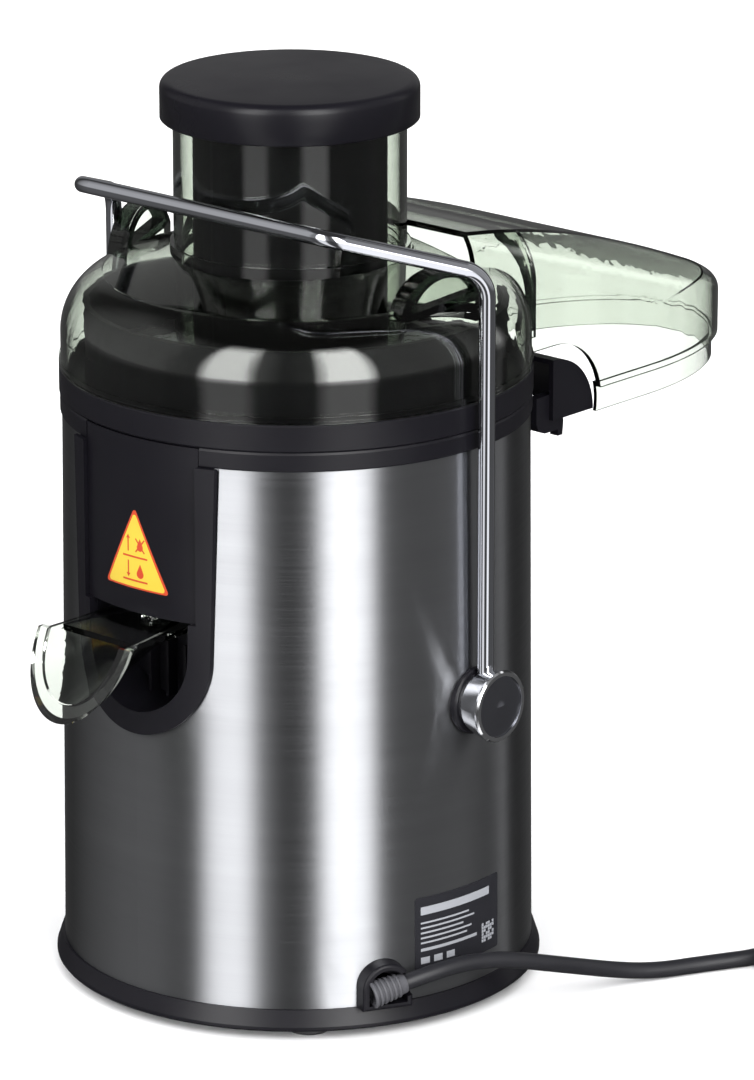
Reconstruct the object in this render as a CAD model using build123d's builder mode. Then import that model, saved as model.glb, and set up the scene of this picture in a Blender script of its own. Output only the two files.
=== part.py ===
from build123d import *
import os
from math import cos, pi, radians, sin, sqrt, tan

# Centrifugal juicer. Millimetres, +Z up. The origin is on the motor axis, on the plane the feet stand on.
# +X is the side with the spout, -X the side with the pulp hood, +Y the back with the cord, -Y the front.

# driving dimensions
seam_r = 90.0  # lid seam, where lid and bowl rim meet
seam_z = 240.6
foot_h = 4.0
sleeve_z0, sleeve_z1 = 12.0, 222.5
sleeve_r0, sleeve_r1 = 90.8, 89.0  # outside radius at the bottom and at the top
sleeve_wall = 0.8
collar_z = 229.6  # joint between the upper housing and the bowl rim
floor_z = 134.0  # underside of the upper housing's floor
bowl_floor_z = 174.0
bowl_r = 80.0
bowl_top_z = 265.0
lid_wall = 2.4
chute_x, chute_r, chute_top_z = 3.0, 44.0, 335.3
pusher_r = 36.6
cap_r, cap_z0, cap_z1 = 48.9, 335.4, 351.9
pivot_z = 124.5  # bail pivot axis, parallel to Y
wire_r = 3.15
shaft_r = 4.0
running_gap = 0.05
damper_ring_r, bracket_z = 50.0, 121.0  # rubber mounts and upper bracket of the motor
gland_angle, gland_half, gland_top = 62.5, 10.0, 30.0
gland_front_r, gland_back_r = 97.6, 87.0
gland_arc_z = gland_top - gland_half
gland_bottom = sleeve_z0 + 0.1
cord_d = 6.4
cord_r = cord_d / 2


def sleeve_outer_r(z):
    """Outside radius of the slightly conical steel sleeve at height z."""
    return sleeve_r0 + (sleeve_r1 - sleeve_r0) * (z - sleeve_z0) / (sleeve_z1 - sleeve_z0)


def at_angle(radius, degrees, z=0.0):
    """Point at a radius and an angle round the motor axis."""
    return Vector(radius * cos(radians(degrees)), radius * sin(radians(degrees)), z)


def radial_plane(radius, degrees, z):
    """Plane that faces away from the motor axis, with its x direction along the circle."""
    a = radians(degrees)
    return Plane(origin=at_angle(radius, degrees, z), x_dir=(-sin(a), cos(a), 0), z_dir=(cos(a), sin(a), 0))


def save(piece, name):
    """Label a finished piece and write its STEP file, named after its node."""
    piece.part.label = name
    export_step(piece.part, f"parts/{name}.step")


def arch(half, bottom, centre_z, plane_z):
    """Outline of an arch: a round head of radius half on straight legs, drawn about height plane_z."""
    with BuildSketch() as outline:
        with BuildLine():
            Polyline((-half, centre_z - plane_z), (-half, bottom - plane_z), (half, bottom - plane_z),
                     (half, centre_z - plane_z))
            ThreePointArc((half, centre_z - plane_z), (0, centre_z + half - plane_z), (-half, centre_z - plane_z))
        make_face()
    return outline.sketch


os.makedirs("parts", exist_ok=True)

# ---------------------------------------------------------------- base

foot_r, foot_ring_r, foot_angles = 9.0, 79.0, (45, 135, 225, 315)
post_r, post_ring_r, post_angles = 5.0, 77.0, (30, 150, 210, 330)
post_split_z = 24.0  # joint between the posts of the base and of the housing
pan_floor = 6.0
pan_floor_top = 8.5

with BuildPart() as feet:
    for angle in foot_angles:
        spot = at_angle(foot_ring_r, angle)
        with BuildSketch(Plane.XY):
            with Locations((spot.X, spot.Y)):
                Circle(foot_r)
        extrude(amount=pan_floor)
        with BuildSketch(Plane.XY.offset(pan_floor)):
            with Locations((spot.X, spot.Y)):
                Circle(3.0)
        extrude(amount=3.5)
    chamfer(feet.edges().group_by(Axis.Z)[0], length=1.0)
save(feet, "feet")

with BuildPart() as base_pan:
    with BuildSketch(Plane.XZ):
        Polygon(
            (0, pan_floor), (88.6, pan_floor), (88.6, foot_h), (93.4, foot_h), (94, foot_h + 0.7), (94, 5.8),
            (91.9, sleeve_z0), (89.75, sleeve_z0), (89.65, 26), (87.3, 26), (87.3, pan_floor_top),
            (0, pan_floor_top), align=None,
        )
    revolve(axis=Axis.Z)
    for angle in foot_angles:
        spot = at_angle(foot_ring_r, angle)
        with Locations((spot.X, spot.Y, pan_floor_top)):
            CounterBoreHole(radius=3.05, counter_bore_radius=4.5, counter_bore_depth=0.6)
    for angle in post_angles:
        spot = at_angle(post_ring_r, angle)
        with BuildSketch(Plane.XY.offset(pan_floor_top)):
            with Locations((spot.X, spot.Y)):
                Circle(post_r)
        extrude(amount=post_split_z - pan_floor_top)
        with Locations((spot.X, spot.Y, pan_floor)):
            Cylinder(1.7, post_split_z - pan_floor, align=(Align.CENTER, Align.CENTER, Align.MIN), mode=Mode.SUBTRACT)
            Cylinder(3.6, 8.0, align=(Align.CENTER, Align.CENTER, Align.MIN), mode=Mode.SUBTRACT)
    # radial cooling slots under the motor
    with BuildSketch(Plane.XY.offset(pan_floor)):
        with PolarLocations(38, 20):
            SlotOverall(24, 4)
    extrude(amount=pan_floor_top - pan_floor, mode=Mode.SUBTRACT)
    # notch for the cord gland
    with BuildSketch(radial_plane(60, gland_angle, gland_arc_z)):
        add(arch(gland_half + 0.1, sleeve_z0 + 0.05, gland_arc_z, gland_arc_z))
    extrude(amount=60, mode=Mode.SUBTRACT)
save(base_pan, "base_pan")

with BuildPart() as base_screws:
    for angle in post_angles:
        spot = at_angle(post_ring_r, angle)
        with BuildSketch(Plane.XY.offset(10.6)):
            with Locations((spot.X, spot.Y)):
                Circle(3.2)
        extrude(amount=3.4)
        with BuildSketch(Plane.XY.offset(14.0)):
            with Locations((spot.X, spot.Y)):
                Circle(1.5)
        extrude(amount=22.0)
        with BuildSketch(Plane.XY.offset(10.6)):
            with Locations((spot.X, spot.Y)):
                Rectangle(4.0, 0.8)
                Rectangle(0.8, 4.0)
        extrude(amount=1.6, mode=Mode.SUBTRACT)
save(base_screws, "base_screws")

# ---------------------------------------------------------------- cord gland, strain relief

relief_tip = at_angle(96.0, 66.8, 21.2)
first_bend = Vector(26.8, 93.3, 23.6)
relief_dir = (first_bend - relief_tip).normalized()
relief_start = relief_tip - relief_dir * 13.5

with BuildPart() as cord_gland:
    with BuildSketch(radial_plane(gland_back_r, gland_angle, gland_arc_z)):
        add(arch(gland_half, gland_bottom, gland_arc_z, gland_arc_z))
    extrude(amount=gland_front_r - gland_back_r)
    fillet(cord_gland.faces().sort_by(Axis((0, 0, 0), tuple(at_angle(1, gland_angle))))[-1].edges(), radius=1.2)
    with BuildSketch(radial_plane(91.0, gland_angle, gland_arc_z)):
        add(arch(gland_half - 2.3, gland_bottom + 2.0, gland_arc_z, gland_arc_z))
    extrude(amount=10, mode=Mode.SUBTRACT)
    # slot in the side wall where the cord leaves along the casing
    with BuildSketch(Plane(origin=relief_start, z_dir=relief_dir)):
        Circle(5.2)
    extrude(amount=30, mode=Mode.SUBTRACT)
    with BuildSketch(radial_plane(80.0, gland_angle, gland_arc_z)):
        Circle(4.6)
    extrude(amount=14, mode=Mode.SUBTRACT)
save(cord_gland, "cord_gland")

with BuildPart() as strain_relief:
    # stub through the casing wall, then a ribbed nose along the casing
    with BuildSketch(radial_plane(83.0, gland_angle, gland_arc_z)):
        Circle(4.5)
    extrude(amount=11.4)
    with BuildSketch(radial_plane(82.0, gland_angle, gland_arc_z)):
        Circle(6.4)
    extrude(amount=2.4)
    with BuildSketch(Plane(origin=relief_start, z_dir=relief_dir)):
        Circle(4.9)
    with BuildSketch(Plane(origin=relief_tip, z_dir=relief_dir)):
        Circle(3.9)
    loft()
save(strain_relief, "strain_relief")

# ---------------------------------------------------------------- power cord, coil and plug

cord_route = [
    tuple(relief_tip), tuple(first_bend), (14.6, 96.9, 24.4), (2.2, 100.6, 23.4), (-9.4, 104.6, 20.8),
    (-20.4, 108.0, 17.4), (-31.4, 110.2, 13.8), (-42.4, 112.2, 10.2), (-53.0, 115.2, 7.0), (-63.2, 119.4, 4.6),
    (-73.4, 124.4, 3.5), (-84.0, 129.2, 3.3), (-96.0, 135.6, 3.3), (-109.0, 142.8, 3.3), (-122.0, 147.0, 3.3),
]
coil_centre = (-131.0, 182.0)
coil_mid_r = 35.0  # middle of the turns, eleven cord diameters across
coil_half = 6.6


def arc_radii(route):
    """Radius of each corner of a cord route, as large as its two runs allow."""
    radii = []
    for before, corner, after in zip(route, route[1:], route[2:]):
        into, out = Vector(*corner) - Vector(*before), Vector(*after) - Vector(*corner)
        turn = radians(into.get_angle(out))
        radii.append(0.45 * min(into.length, out.length) / tan(turn / 2))
    return radii


def cord_tube(route):
    """Plain tube along straight runs joined by tangent arcs."""
    with BuildPart() as tube:
        with BuildLine() as path:
            FilletPolyline(*route, radius=arc_radii(route))
        with BuildSketch(Plane(origin=path.line @ 0, z_dir=path.line % 0)):
            Circle(cord_r)
        sweep()
    length = path.wires()[0].length
    print("cord radii", [round(r, 1) for r in arc_radii(route)], "length", round(length, 1),
          "volume over section x length", round(tube.part.volume / (pi * cord_r**2 * length), 4))
    return tube


power_cord = cord_tube(cord_route)
save(power_cord, "power_cord")


coil_axis = Axis((*coil_centre, 0), (0, 0, 1))
coil_plane = Plane(origin=(*coil_centre, 0), x_dir=(1, 0, 0), z_dir=(0, -1, 0))

with BuildPart() as cord_coil:
    with BuildSketch(coil_plane):
        with Locations((coil_mid_r, coil_half + 0.1)):
            RectangleRounded(2 * coil_half, 2 * coil_half, 2.6)
    revolve(axis=coil_axis)
save(cord_coil, "cord_coil")

tie_half = 5.0
with BuildPart() as coil_tie:
    with BuildSketch(coil_plane.offset(-tie_half)):
        with Locations((coil_mid_r, coil_half + 0.1)):
            RectangleRounded(2 * coil_half + 2.0, 2 * coil_half + 0.2, 2.6)
            RectangleRounded(2 * coil_half + 0.2, 2 * coil_half, 2.5, mode=Mode.SUBTRACT)
    extrude(amount=2 * tie_half)
    add(cord_coil.part, mode=Mode.SUBTRACT)
save(coil_tie, "coil_tie")

# the flat cord end leaves the coil and ends in a plug that lies beside it
tail_route = [(-165.0, 176.0, 4.4), (-177.0, 178.5, 4.4), (-188.0, 185.0, 4.4), (-196.0, 199.0, 4.4)]
plug_start = tail_route[-1]
plug_dir = (Vector(*plug_start) - Vector(*tail_route[-2])).normalized()
cord_tail = cord_tube(tail_route)
save(cord_tail, "cord_tail")

plug_plane = Plane(origin=plug_start, x_dir=(-plug_dir.Y, plug_dir.X, 0), z_dir=tuple(plug_dir))
with BuildPart() as plug:
    with BuildSketch(plug_plane):
        Circle(4.4)
    with BuildSketch(plug_plane.offset(16)):
        Circle(4.4)
    loft()
    # sleeve, neck and round face of an earth-free two-pin plug
    with BuildSketch(plug_plane.offset(14)):
        with Locations((0, 4.0)):
            RectangleRounded(20, 16, 5.0)
    with BuildSketch(plug_plane.offset(34)):
        with Locations((0, 9.2)):
            RectangleRounded(34, 26.4, 11)
    loft()
    with BuildSketch(plug_plane.offset(34)):
        with Locations((0, 9.2)):
            RectangleRounded(34, 26.4, 11)
    extrude(amount=10)
save(plug, "plug")

with BuildPart() as plug_pins:
    with BuildSketch(plug_plane.offset(44)):
        with Locations((-9.5, 9.2), (9.5, 9.2)):
            Circle(2.4)
    extrude(amount=19)
    fillet(plug_pins.faces().group_by(Axis((0, 0, 0), tuple(plug_dir)))[-1].edges(), radius=1.2)
save(plug_pins, "plug_pins")

# ---------------------------------------------------------------- steel sleeve and spout panel opening

frame_half_top, frame_half_mid, frame_mid_z = 35.8, 33.7, 148.0
panel_half = 28.2


def u_shape(inset, top_z):
    """U outline on the Y-Z plane: nearly straight sides, half-round at the bottom."""
    top, mid = frame_half_top - inset, frame_half_mid - inset
    with BuildSketch() as outline:
        with BuildLine():
            Polyline((-mid, frame_mid_z), (-top, top_z), (top, top_z), (mid, frame_mid_z))
            ThreePointArc((mid, frame_mid_z), (0, frame_mid_z - mid), (-mid, frame_mid_z))
        make_face()
    return outline.sketch


with BuildPart() as steel_sleeve:
    with BuildSketch(Plane.XZ):
        Polygon(
            (sleeve_r0 - sleeve_wall, sleeve_z0), (sleeve_r0, sleeve_z0), (sleeve_r1, sleeve_z1),
            (sleeve_r1 - sleeve_wall, sleeve_z1), align=None,
        )
    revolve(axis=Axis.Z)
    with BuildSketch(Plane.YZ):
        add(u_shape(1.7, sleeve_z1 + 5))
    extrude(amount=100, mode=Mode.SUBTRACT)
    with BuildSketch(Plane.XZ):
        with Locations((0, pivot_z)):
            Circle(6.1)
    extrude(amount=100, both=True, mode=Mode.SUBTRACT)
    with BuildSketch(Plane.XZ):
        with Locations((0, 62)):
            Circle(9.0)
    extrude(amount=100, mode=Mode.SUBTRACT)
    with BuildSketch(radial_plane(60, gland_angle, gland_arc_z)):
        add(arch(gland_half + 0.1, sleeve_z0 - 1, gland_arc_z, gland_arc_z))
    extrude(amount=60, mode=Mode.SUBTRACT)
save(steel_sleeve, "steel_sleeve")

with BuildPart() as rating_label:
    label_z0, label_z1 = 21.0, 52.5
    with BuildSketch(Plane.XZ):
        Polygon(
            (sleeve_outer_r(label_z0), label_z0), (sleeve_outer_r(label_z0) + 0.25, label_z0),
            (sleeve_outer_r(label_z1) + 0.25, label_z1), (sleeve_outer_r(label_z1), label_z1), align=None,
        )
    revolve(axis=Axis.Z, revolution_arc=29.0)
rating_label.part.location = Location((0, 0, 0), (0, 0, 70.6))
save(rating_label, "rating_label")

# ---------------------------------------------------------------- upper housing with the bowl well

well_r, well_wall = 85.3, 2.45
niche_half, niche_back_x = 26.5, 66.0
panel_cut_half = panel_half + 0.4

with BuildPart() as upper_housing:
    with BuildSketch(Plane.XZ):
        Polygon(
            (16.2, floor_z), (well_r + well_wall, floor_z), (well_r + well_wall, sleeve_z1), (89.5, sleeve_z1),
            (89.7, sleeve_z1 + 0.5), (89.7, collar_z - 0.8), (89.3, collar_z), (well_r, collar_z),
            (well_r, floor_z + 3), (18.4, floor_z + 3), (18.4, 160), (16.2, 160), align=None,
        )
    revolve(axis=Axis.Z)
    for angle in post_angles:
        spot = at_angle(post_ring_r, angle)
        with BuildSketch(Plane.XY.offset(post_split_z)):
            with Locations((spot.X, spot.Y)):
                Circle(post_r)
        extrude(amount=floor_z - post_split_z)
        with BuildSketch(Plane.XY.offset(post_split_z)):
            with Locations((spot.X, spot.Y)):
                Circle(1.5)
        extrude(amount=16, mode=Mode.SUBTRACT)
    # blind holes for the screws that hang the motor
    with BuildSketch(Plane.XY.offset(floor_z)):
        with PolarLocations(damper_ring_r, 4, start_angle=45):
            Circle(1.9)
    extrude(amount=2.4, mode=Mode.SUBTRACT)
    # room for the niche behind the spout, and for the panel above it
    with BuildSketch(Plane.XY.offset(floor_z - 1)):
        with Locations((niche_back_x + 28, 0)):
            Rectangle(58, 2 * niche_half + 1.2)
    extrude(amount=44, mode=Mode.SUBTRACT)
    with BuildSketch(Plane.YZ.offset(80)):
        with Locations((0, 195)):
            Rectangle(2 * panel_cut_half, 80)
    extrude(amount=12, mode=Mode.SUBTRACT)
save(upper_housing, "upper_housing")

with BuildPart() as panel_frame:
    with BuildSketch(Plane.YZ.offset(60)):
        add(u_shape(0, sleeve_z1 - 0.1))
        add(u_shape(frame_half_mid - 24.9, sleeve_z1 + 9), mode=Mode.SUBTRACT)
    extrude(amount=45)
    with BuildSketch(Plane.XZ):
        Polygon((90.0, 100), (91.6, 100), (91.6, 240), (90.0, 240), align=None)
    revolve(axis=Axis.Z, mode=Mode.INTERSECT)
    with BuildSketch(Plane.YZ.offset(60)):
        add(u_shape(2.0, sleeve_z1 - 0.1))
        add(u_shape(frame_half_mid - 24.9, sleeve_z1 + 9), mode=Mode.SUBTRACT)
    extrude(amount=30.2)
    with BuildSketch(Plane.XZ):
        Polygon((87.75, 100), (91.6, 100), (91.6, 240), (87.75, 240), align=None)
    revolve(axis=Axis.Z, mode=Mode.INTERSECT)
    # the panel fills the upper part, from edge to edge
    with BuildSketch(Plane.YZ.offset(80)):
        with Locations((0, 200)):
            Rectangle(2 * panel_half + 0.2, 77.6)
    extrude(amount=20, mode=Mode.SUBTRACT)
save(panel_frame, "panel_frame")

panel_z0 = 161.3
with BuildPart() as spout_panel:
    with BuildSketch(Plane.YZ.offset(70)):
        with Locations((0, (panel_z0 + collar_z - 0.3) / 2)):
            Rectangle(2 * panel_half, collar_z - 0.3 - panel_z0)
    extrude(amount=30)
    with BuildSketch(Plane.XZ):
        Polygon((87.75, 100), (89.5, 100), (89.5, 240), (87.75, 240), align=None)
    revolve(axis=Axis.Z, mode=Mode.INTERSECT)
save(spout_panel, "spout_panel")

with BuildPart() as control_sticker:
    with BuildSketch(Plane.YZ.offset(70)):
        with BuildLine():
            Polyline((-16.6, 169.2), (16.6, 169.2), (0, 205.4), close=True)
        make_face()
        fillet(vertices(), radius=2.4)
    extrude(amount=30)
    with BuildSketch(Plane.XZ):
        Polygon((89.5, 160), (89.75, 160), (89.75, 215), (89.5, 215), align=None)
    revolve(axis=Axis.Z, mode=Mode.INTERSECT)
save(control_sticker, "control_sticker")

neck_x, neck_r, neck_bore_r = 79.0, 6.0, 4.2
niche_top = 163.0
with BuildPart() as spout_niche:
    with BuildSketch(Plane.YZ.offset(niche_back_x)):
        with BuildLine():
            Polyline((-niche_half, frame_mid_z), (-niche_half, niche_top), (niche_half, niche_top),
                     (niche_half, frame_mid_z))
            ThreePointArc((niche_half, frame_mid_z), (0, frame_mid_z - niche_half), (-niche_half, frame_mid_z))
        make_face()
    extrude(amount=30)
    with BuildSketch(Plane.YZ.offset(niche_back_x + 1.8)):
        inner = niche_half - 1.5
        with BuildLine():
            Polyline((-inner, frame_mid_z), (-inner, niche_top - 1.6), (inner, niche_top - 1.6),
                     (inner, frame_mid_z))
            ThreePointArc((inner, frame_mid_z), (0, frame_mid_z - inner), (-inner, frame_mid_z))
        make_face()
    extrude(amount=40, mode=Mode.SUBTRACT)
    # stiffening ribs on the back wall
    with BuildSketch(Plane.YZ.offset(niche_back_x + 1.8)):
        with Locations((-9, 135), (0, 135), (9, 135)):
            Rectangle(1.4, 22)
    extrude(amount=5.0)
    with BuildSketch(Plane.XY.offset(niche_top - 3)):
        with Locations((neck_x, 0)):
            Circle(neck_r + 0.8)
    extrude(amount=5, mode=Mode.SUBTRACT)
    with BuildSketch(Plane.XZ):
        Polygon((0, 100), (87.75, 100), (87.75, 180), (0, 180), align=None)
    revolve(axis=Axis.Z, mode=Mode.INTERSECT)
save(spout_niche, "spout_niche")

# ---------------------------------------------------------------- juice bowl and pulp deflector

bowl_wall = 2.4
hub_lip_r = 18.6
outlet_half_angle = 44.0  # the wall is low over this much each side of -X, where the pulp flies out

with BuildPart() as juice_bowl:
    with BuildSketch(Plane.XZ):
        Polygon(
            (hub_lip_r, bowl_floor_z), (bowl_r, bowl_floor_z), (bowl_r, 223), (84.6, 223), (84.6, collar_z),
            (89.2, collar_z), (90, collar_z + 0.9), (90, seam_z - 0.9), (89.3, seam_z), (86.4, seam_z), (86.4, 236), (bowl_r, 236), (bowl_r, bowl_top_z), (bowl_r - bowl_wall, bowl_top_z),
            (bowl_r - bowl_wall, bowl_floor_z + 2.5), (hub_lip_r + 2.2, bowl_floor_z + 2.5), (hub_lip_r + 2.2, 183),
            (hub_lip_r, 183), align=None,
        )
    revolve(axis=Axis.Z)
    # sump that leads the juice down to the spout's neck
    with BuildSketch(Plane.XY.offset(163.3)):
        with Locations((71.4, 0)):
            Rectangle(30.8, 24)
    extrude(amount=bowl_floor_z - 163.3)
    with BuildSketch(Plane.XY.offset(165.3)):
        with Locations((71.4, 0)):
            Rectangle(28.2, 20)
    extrude(amount=bowl_floor_z - 165.3, mode=Mode.SUBTRACT)
    with BuildSketch(Plane.XY.offset(165.3)):
        with Locations((64.0, 0)):
            Rectangle(12.0, 18)
    extrude(amount=14, mode=Mode.SUBTRACT)
    with BuildSketch(Plane.XY.offset(163)):
        with Locations((neck_x, 0)):
            Circle(neck_r + running_gap)
    extrude(amount=3, mode=Mode.SUBTRACT)
    # low wall on the pulp side
    with BuildSketch(Plane.XY.offset(244)):
        with BuildLine():
            edge = at_angle(120, 180 - outlet_half_angle)
            Polyline((-30, 0), (edge.X, edge.Y), (-120, 0), (edge.X, -edge.Y), close=True)
        make_face()
    extrude(amount=40, mode=Mode.SUBTRACT)
save(juice_bowl, "juice_bowl")

cheek_x, cheek_z, cheek_r, cheek_half = -91.0, 206.0, 24.2, 51.0
with BuildPart() as deflector_band:
    with BuildSketch(Plane.XZ):
        Polygon((seam_r, 224), (seam_r + 2, 224), (seam_r + 2, 236), (seam_r, 238.6), align=None)
    revolve(axis=Axis.Z)
    with Locations((-seam_r, 0, 230)):
        Box(60, 2 * cheek_half - 4, 40, mode=Mode.INTERSECT)

with BuildPart() as pulp_deflector:
    # rounded slide that turns the pulp down, between two quarter-round cheeks
    with BuildSketch(Plane.XZ.offset(-cheek_half)):
        with BuildLine():
            Polyline((cheek_x, cheek_z + cheek_r), (cheek_x, cheek_z), (cheek_x - cheek_r, cheek_z))
            ThreePointArc((cheek_x - cheek_r, cheek_z),
                          (cheek_x - cheek_r * sin(pi / 4), cheek_z + cheek_r * sin(pi / 4)),
                          (cheek_x, cheek_z + cheek_r))
        make_face()
    extrude(amount=2 * cheek_half)
    with BuildSketch(Plane.XZ.offset(-cheek_half + 2.2)):
        with BuildLine():
            hollow = cheek_r - 2.0
            Polyline((cheek_x + 2, cheek_z + hollow), (cheek_x + 2, cheek_z - 1), (cheek_x - hollow, cheek_z - 1),
                     (cheek_x - hollow, cheek_z))
            ThreePointArc((cheek_x - hollow, cheek_z),
                          (cheek_x - hollow * sin(pi / 4), cheek_z + hollow * sin(pi / 4)),
                          (cheek_x + 2, cheek_z + hollow))
        make_face()
    extrude(amount=2 * cheek_half - 4.4, mode=Mode.SUBTRACT)
    # hooks that the pulp container hangs on
    for hook_y in (-cheek_half + 2, cheek_half - 6):
        with BuildSketch(Plane.XZ.offset(-hook_y)):
            with BuildLine():
                Polyline((-83.5, 216), (-83.5, 206), (-84.8, 202.5), (-88.5, 201), (-96.5, 201), (-96.5, 198.4),
                         (-99.2, 198.4), (-99.8, 204), (-98, 212), (-94, 216), close=True)
            make_face()
        extrude(amount=-4)
    with BuildSketch(Plane.XY.offset(190)):
        Circle(seam_r)
    extrude(amount=60, mode=Mode.SUBTRACT)
    add(deflector_band.part)
save(pulp_deflector, "pulp_deflector")

# ---------------------------------------------------------------- spout and its valve seal

trough_r, trough_wall, lip_r = 20.0, 2.0, 23.3
trough_slope = 0.36  # fall of the trough floor for each millimetre outwards
trough_x0, trough_x1 = 70.0, 150.0
trough_z = 174.7  # height of the trough's round centre at trough_x0
spout_top_z = 158.0
plate_x1 = 110.0
mouth_top, mouth_bottom = Vector(117.5, 0, spout_top_z), Vector(133.0, 0, 128.6)
mouth_normal = Vector(mouth_top.Z - mouth_bottom.Z, 0, mouth_bottom.X - mouth_top.X).normalized()
run_dir = (1, 0, -trough_slope)
run_length = (trough_x1 - trough_x0) * sqrt(1 + trough_slope**2)


def trough_section(radius, centre_z):
    """U section: half-round floor with upright sides above it."""
    with BuildSketch() as outline:
        with BuildLine():
            Polyline((-radius, centre_z), (-radius, centre_z + 40), (radius, centre_z + 40), (radius, centre_z))
            ThreePointArc((radius, centre_z), (0, centre_z - radius), (-radius, centre_z))
        make_face()
    return outline.sketch


with BuildPart() as spout:
    with BuildSketch(Plane.YZ.offset(trough_x0)):
        add(trough_section(lip_r, trough_z))
    extrude(amount=run_length, dir=run_dir)
    split(bisect_by=Plane(origin=mouth_top - mouth_normal * 2.4, z_dir=mouth_normal), keep=Keep.TOP)
    with BuildSketch(Plane.YZ.offset(trough_x0)):
        add(trough_section(trough_r, trough_z))
    extrude(amount=run_length, dir=run_dir)
    with BuildSketch(Plane.YZ.offset(trough_x0 + trough_wall)):
        add(trough_section(trough_r - trough_wall, trough_z - trough_slope * trough_wall))
    extrude(amount=run_length, dir=run_dir, mode=Mode.SUBTRACT)
    split(bisect_by=Plane(origin=mouth_top, z_dir=mouth_normal), keep=Keep.BOTTOM)
    split(bisect_by=Plane.XY.offset(spout_top_z), keep=Keep.BOTTOM)
    # flat cover plate over the inner half of the trough
    with BuildSketch(Plane.XY.offset(spout_top_z - 2.4)):
        with Locations(((trough_x0 + plate_x1) / 2, 0)):
            Rectangle(plate_x1 - trough_x0, 2 * trough_r - 1.0)
    extrude(amount=2.4)
    with BuildSketch(Plane.XY.offset(spout_top_z)):
        with Locations((neck_x, 0)):
            Circle(neck_r)
    extrude(amount=15.2)
    with BuildSketch(Plane.XY.offset(spout_top_z - 3)):
        with Locations((neck_x, 0)):
            Circle(neck_bore_r)
    extrude(amount=20, mode=Mode.SUBTRACT)
save(spout, "spout")

with BuildPart() as valve_seal:
    with BuildSketch(Plane.XY.offset(spout_top_z + 15.2)):
        with Locations((neck_x, 0)):
            Circle(neck_r - 0.1)
            Circle(neck_bore_r, mode=Mode.SUBTRACT)
    extrude(amount=0.7)
save(valve_seal, "valve_seal")

# ---------------------------------------------------------------- lid with feed chute, ears and pulp hood

lid_r, shoulder_r, shoulder_z = 89.3, 25.0, 253.0
shoulder_angle = radians(69)
crown_z = 285.0
hood_half, hood_end_x, hood_mid_x = 55.0, -232.0, -148.0
hood_rim_z, skirt_z = 215.0, 205.0
notch_x, notch_z, notch_r = -88.0, 210.0, 27.6
chute_bottom_z = 200.0


def dome_solid(inset, bottom_z):
    """Dome of revolution: straight wall, round shoulder, conical crown up to the chute."""
    centre, radius = lid_r - shoulder_r, shoulder_r - inset
    with BuildPart() as dome:
        with BuildSketch(Plane.XZ):
            with BuildLine():
                Polyline((0, bottom_z), (lid_r - inset, bottom_z), (lid_r - inset, shoulder_z))
                top = (centre + radius * cos(shoulder_angle), shoulder_z + radius * sin(shoulder_angle))
                middle = (centre + radius * cos(shoulder_angle / 2), shoulder_z + radius * sin(shoulder_angle / 2))
                ThreePointArc((lid_r - inset, shoulder_z), middle, top)
                Polyline(top, (chute_r, crown_z - inset), (0, crown_z - inset), (0, bottom_z))
            make_face()
        revolve(axis=Axis.Z)
    return dome.part


def hood_solid(inset):
    """Pulp hood: U-shaped plan, top line falling outwards, top corners well rounded."""
    half, end_x = hood_half - inset, hood_end_x + inset
    with BuildPart() as hood:
        with BuildSketch(Plane.XY.offset(100)):
            with BuildLine():
                Polyline((hood_mid_x, -half), (-40, -half), (-40, half), (hood_mid_x, half))
                EllipticalCenterArc((hood_mid_x, 0), hood_mid_x - end_x, half, start_angle=90, arc_size=180)
            make_face()
        extrude(amount=200)
        with BuildSketch(Plane.XZ):
            with BuildLine():
                Polyline((-40, 291 - inset), (-40, 90), (-250, 90), (-250, 219 - inset))
                ThreePointArc((-250, 219 - inset), (-140, 267 - inset), (-40, 291 - inset))
            make_face()
        extrude(amount=80, both=True, mode=Mode.INTERSECT)
        with BuildSketch(Plane.YZ.offset(-30)):
            with Locations((0, 305 - inset - 150)):
                RectangleRounded(2 * half, 300, 26 - inset)
        extrude(amount=260, dir=(-1, 0, -0.325), mode=Mode.INTERSECT)
        rim = hood.edges().filter_by(lambda e: e.center().X < hood_mid_x - 30 and e.center().Z > 215)
        fillet(rim, radius=8 - inset)
    return hood.part


outer_dome, inner_dome = dome_solid(0, seam_z), dome_solid(lid_wall, seam_z - 1)
outer_hood, inner_hood = hood_solid(0), hood_solid(lid_wall)
skirt_band = Pos(-170, 0, (skirt_z + hood_rim_z) / 2 + 1) * Box(124, 200, hood_rim_z - skirt_z + 2)
skirt = (inner_hood - hood_solid(lid_wall + 1.6)) & skirt_band

# an ear stands on the shoulder each side of the chute: a D outline, hollowed from the outside
ear_front, ear_rear = Vector(25.0, 74.4, 0), Vector(-10.0, 84.0, 0)
ear_along = (ear_rear - ear_front).normalized()
ear_half = (ear_rear - ear_front).length / 2
ear_origin = (ear_front + ear_rear) * 0.5
ear_plane = Plane(origin=(ear_origin.X, ear_origin.Y, 273), x_dir=tuple(ear_along * -1),
                  z_dir=(-ear_along.Y, ear_along.X, 0))
with BuildPart() as ear:
    with BuildSketch(ear_plane):
        with BuildLine():
            Polyline((ear_half, 0.4), (ear_half, -4), (-ear_half, -4), (-ear_half, 6))
            ThreePointArc((-ear_half, 6), (1, 17), (ear_half, 0.4))
        make_face()
    extrude(amount=8)
    with BuildSketch(ear_plane):
        with BuildLine():
            Polyline((ear_half - 6, 3.0), (-ear_half + 2.8, 7.6))
            ThreePointArc((-ear_half + 2.8, 7.6), (0, 14.2), (ear_half - 6, 3.0))
        make_face()
    extrude(amount=5.5, mode=Mode.SUBTRACT)

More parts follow.
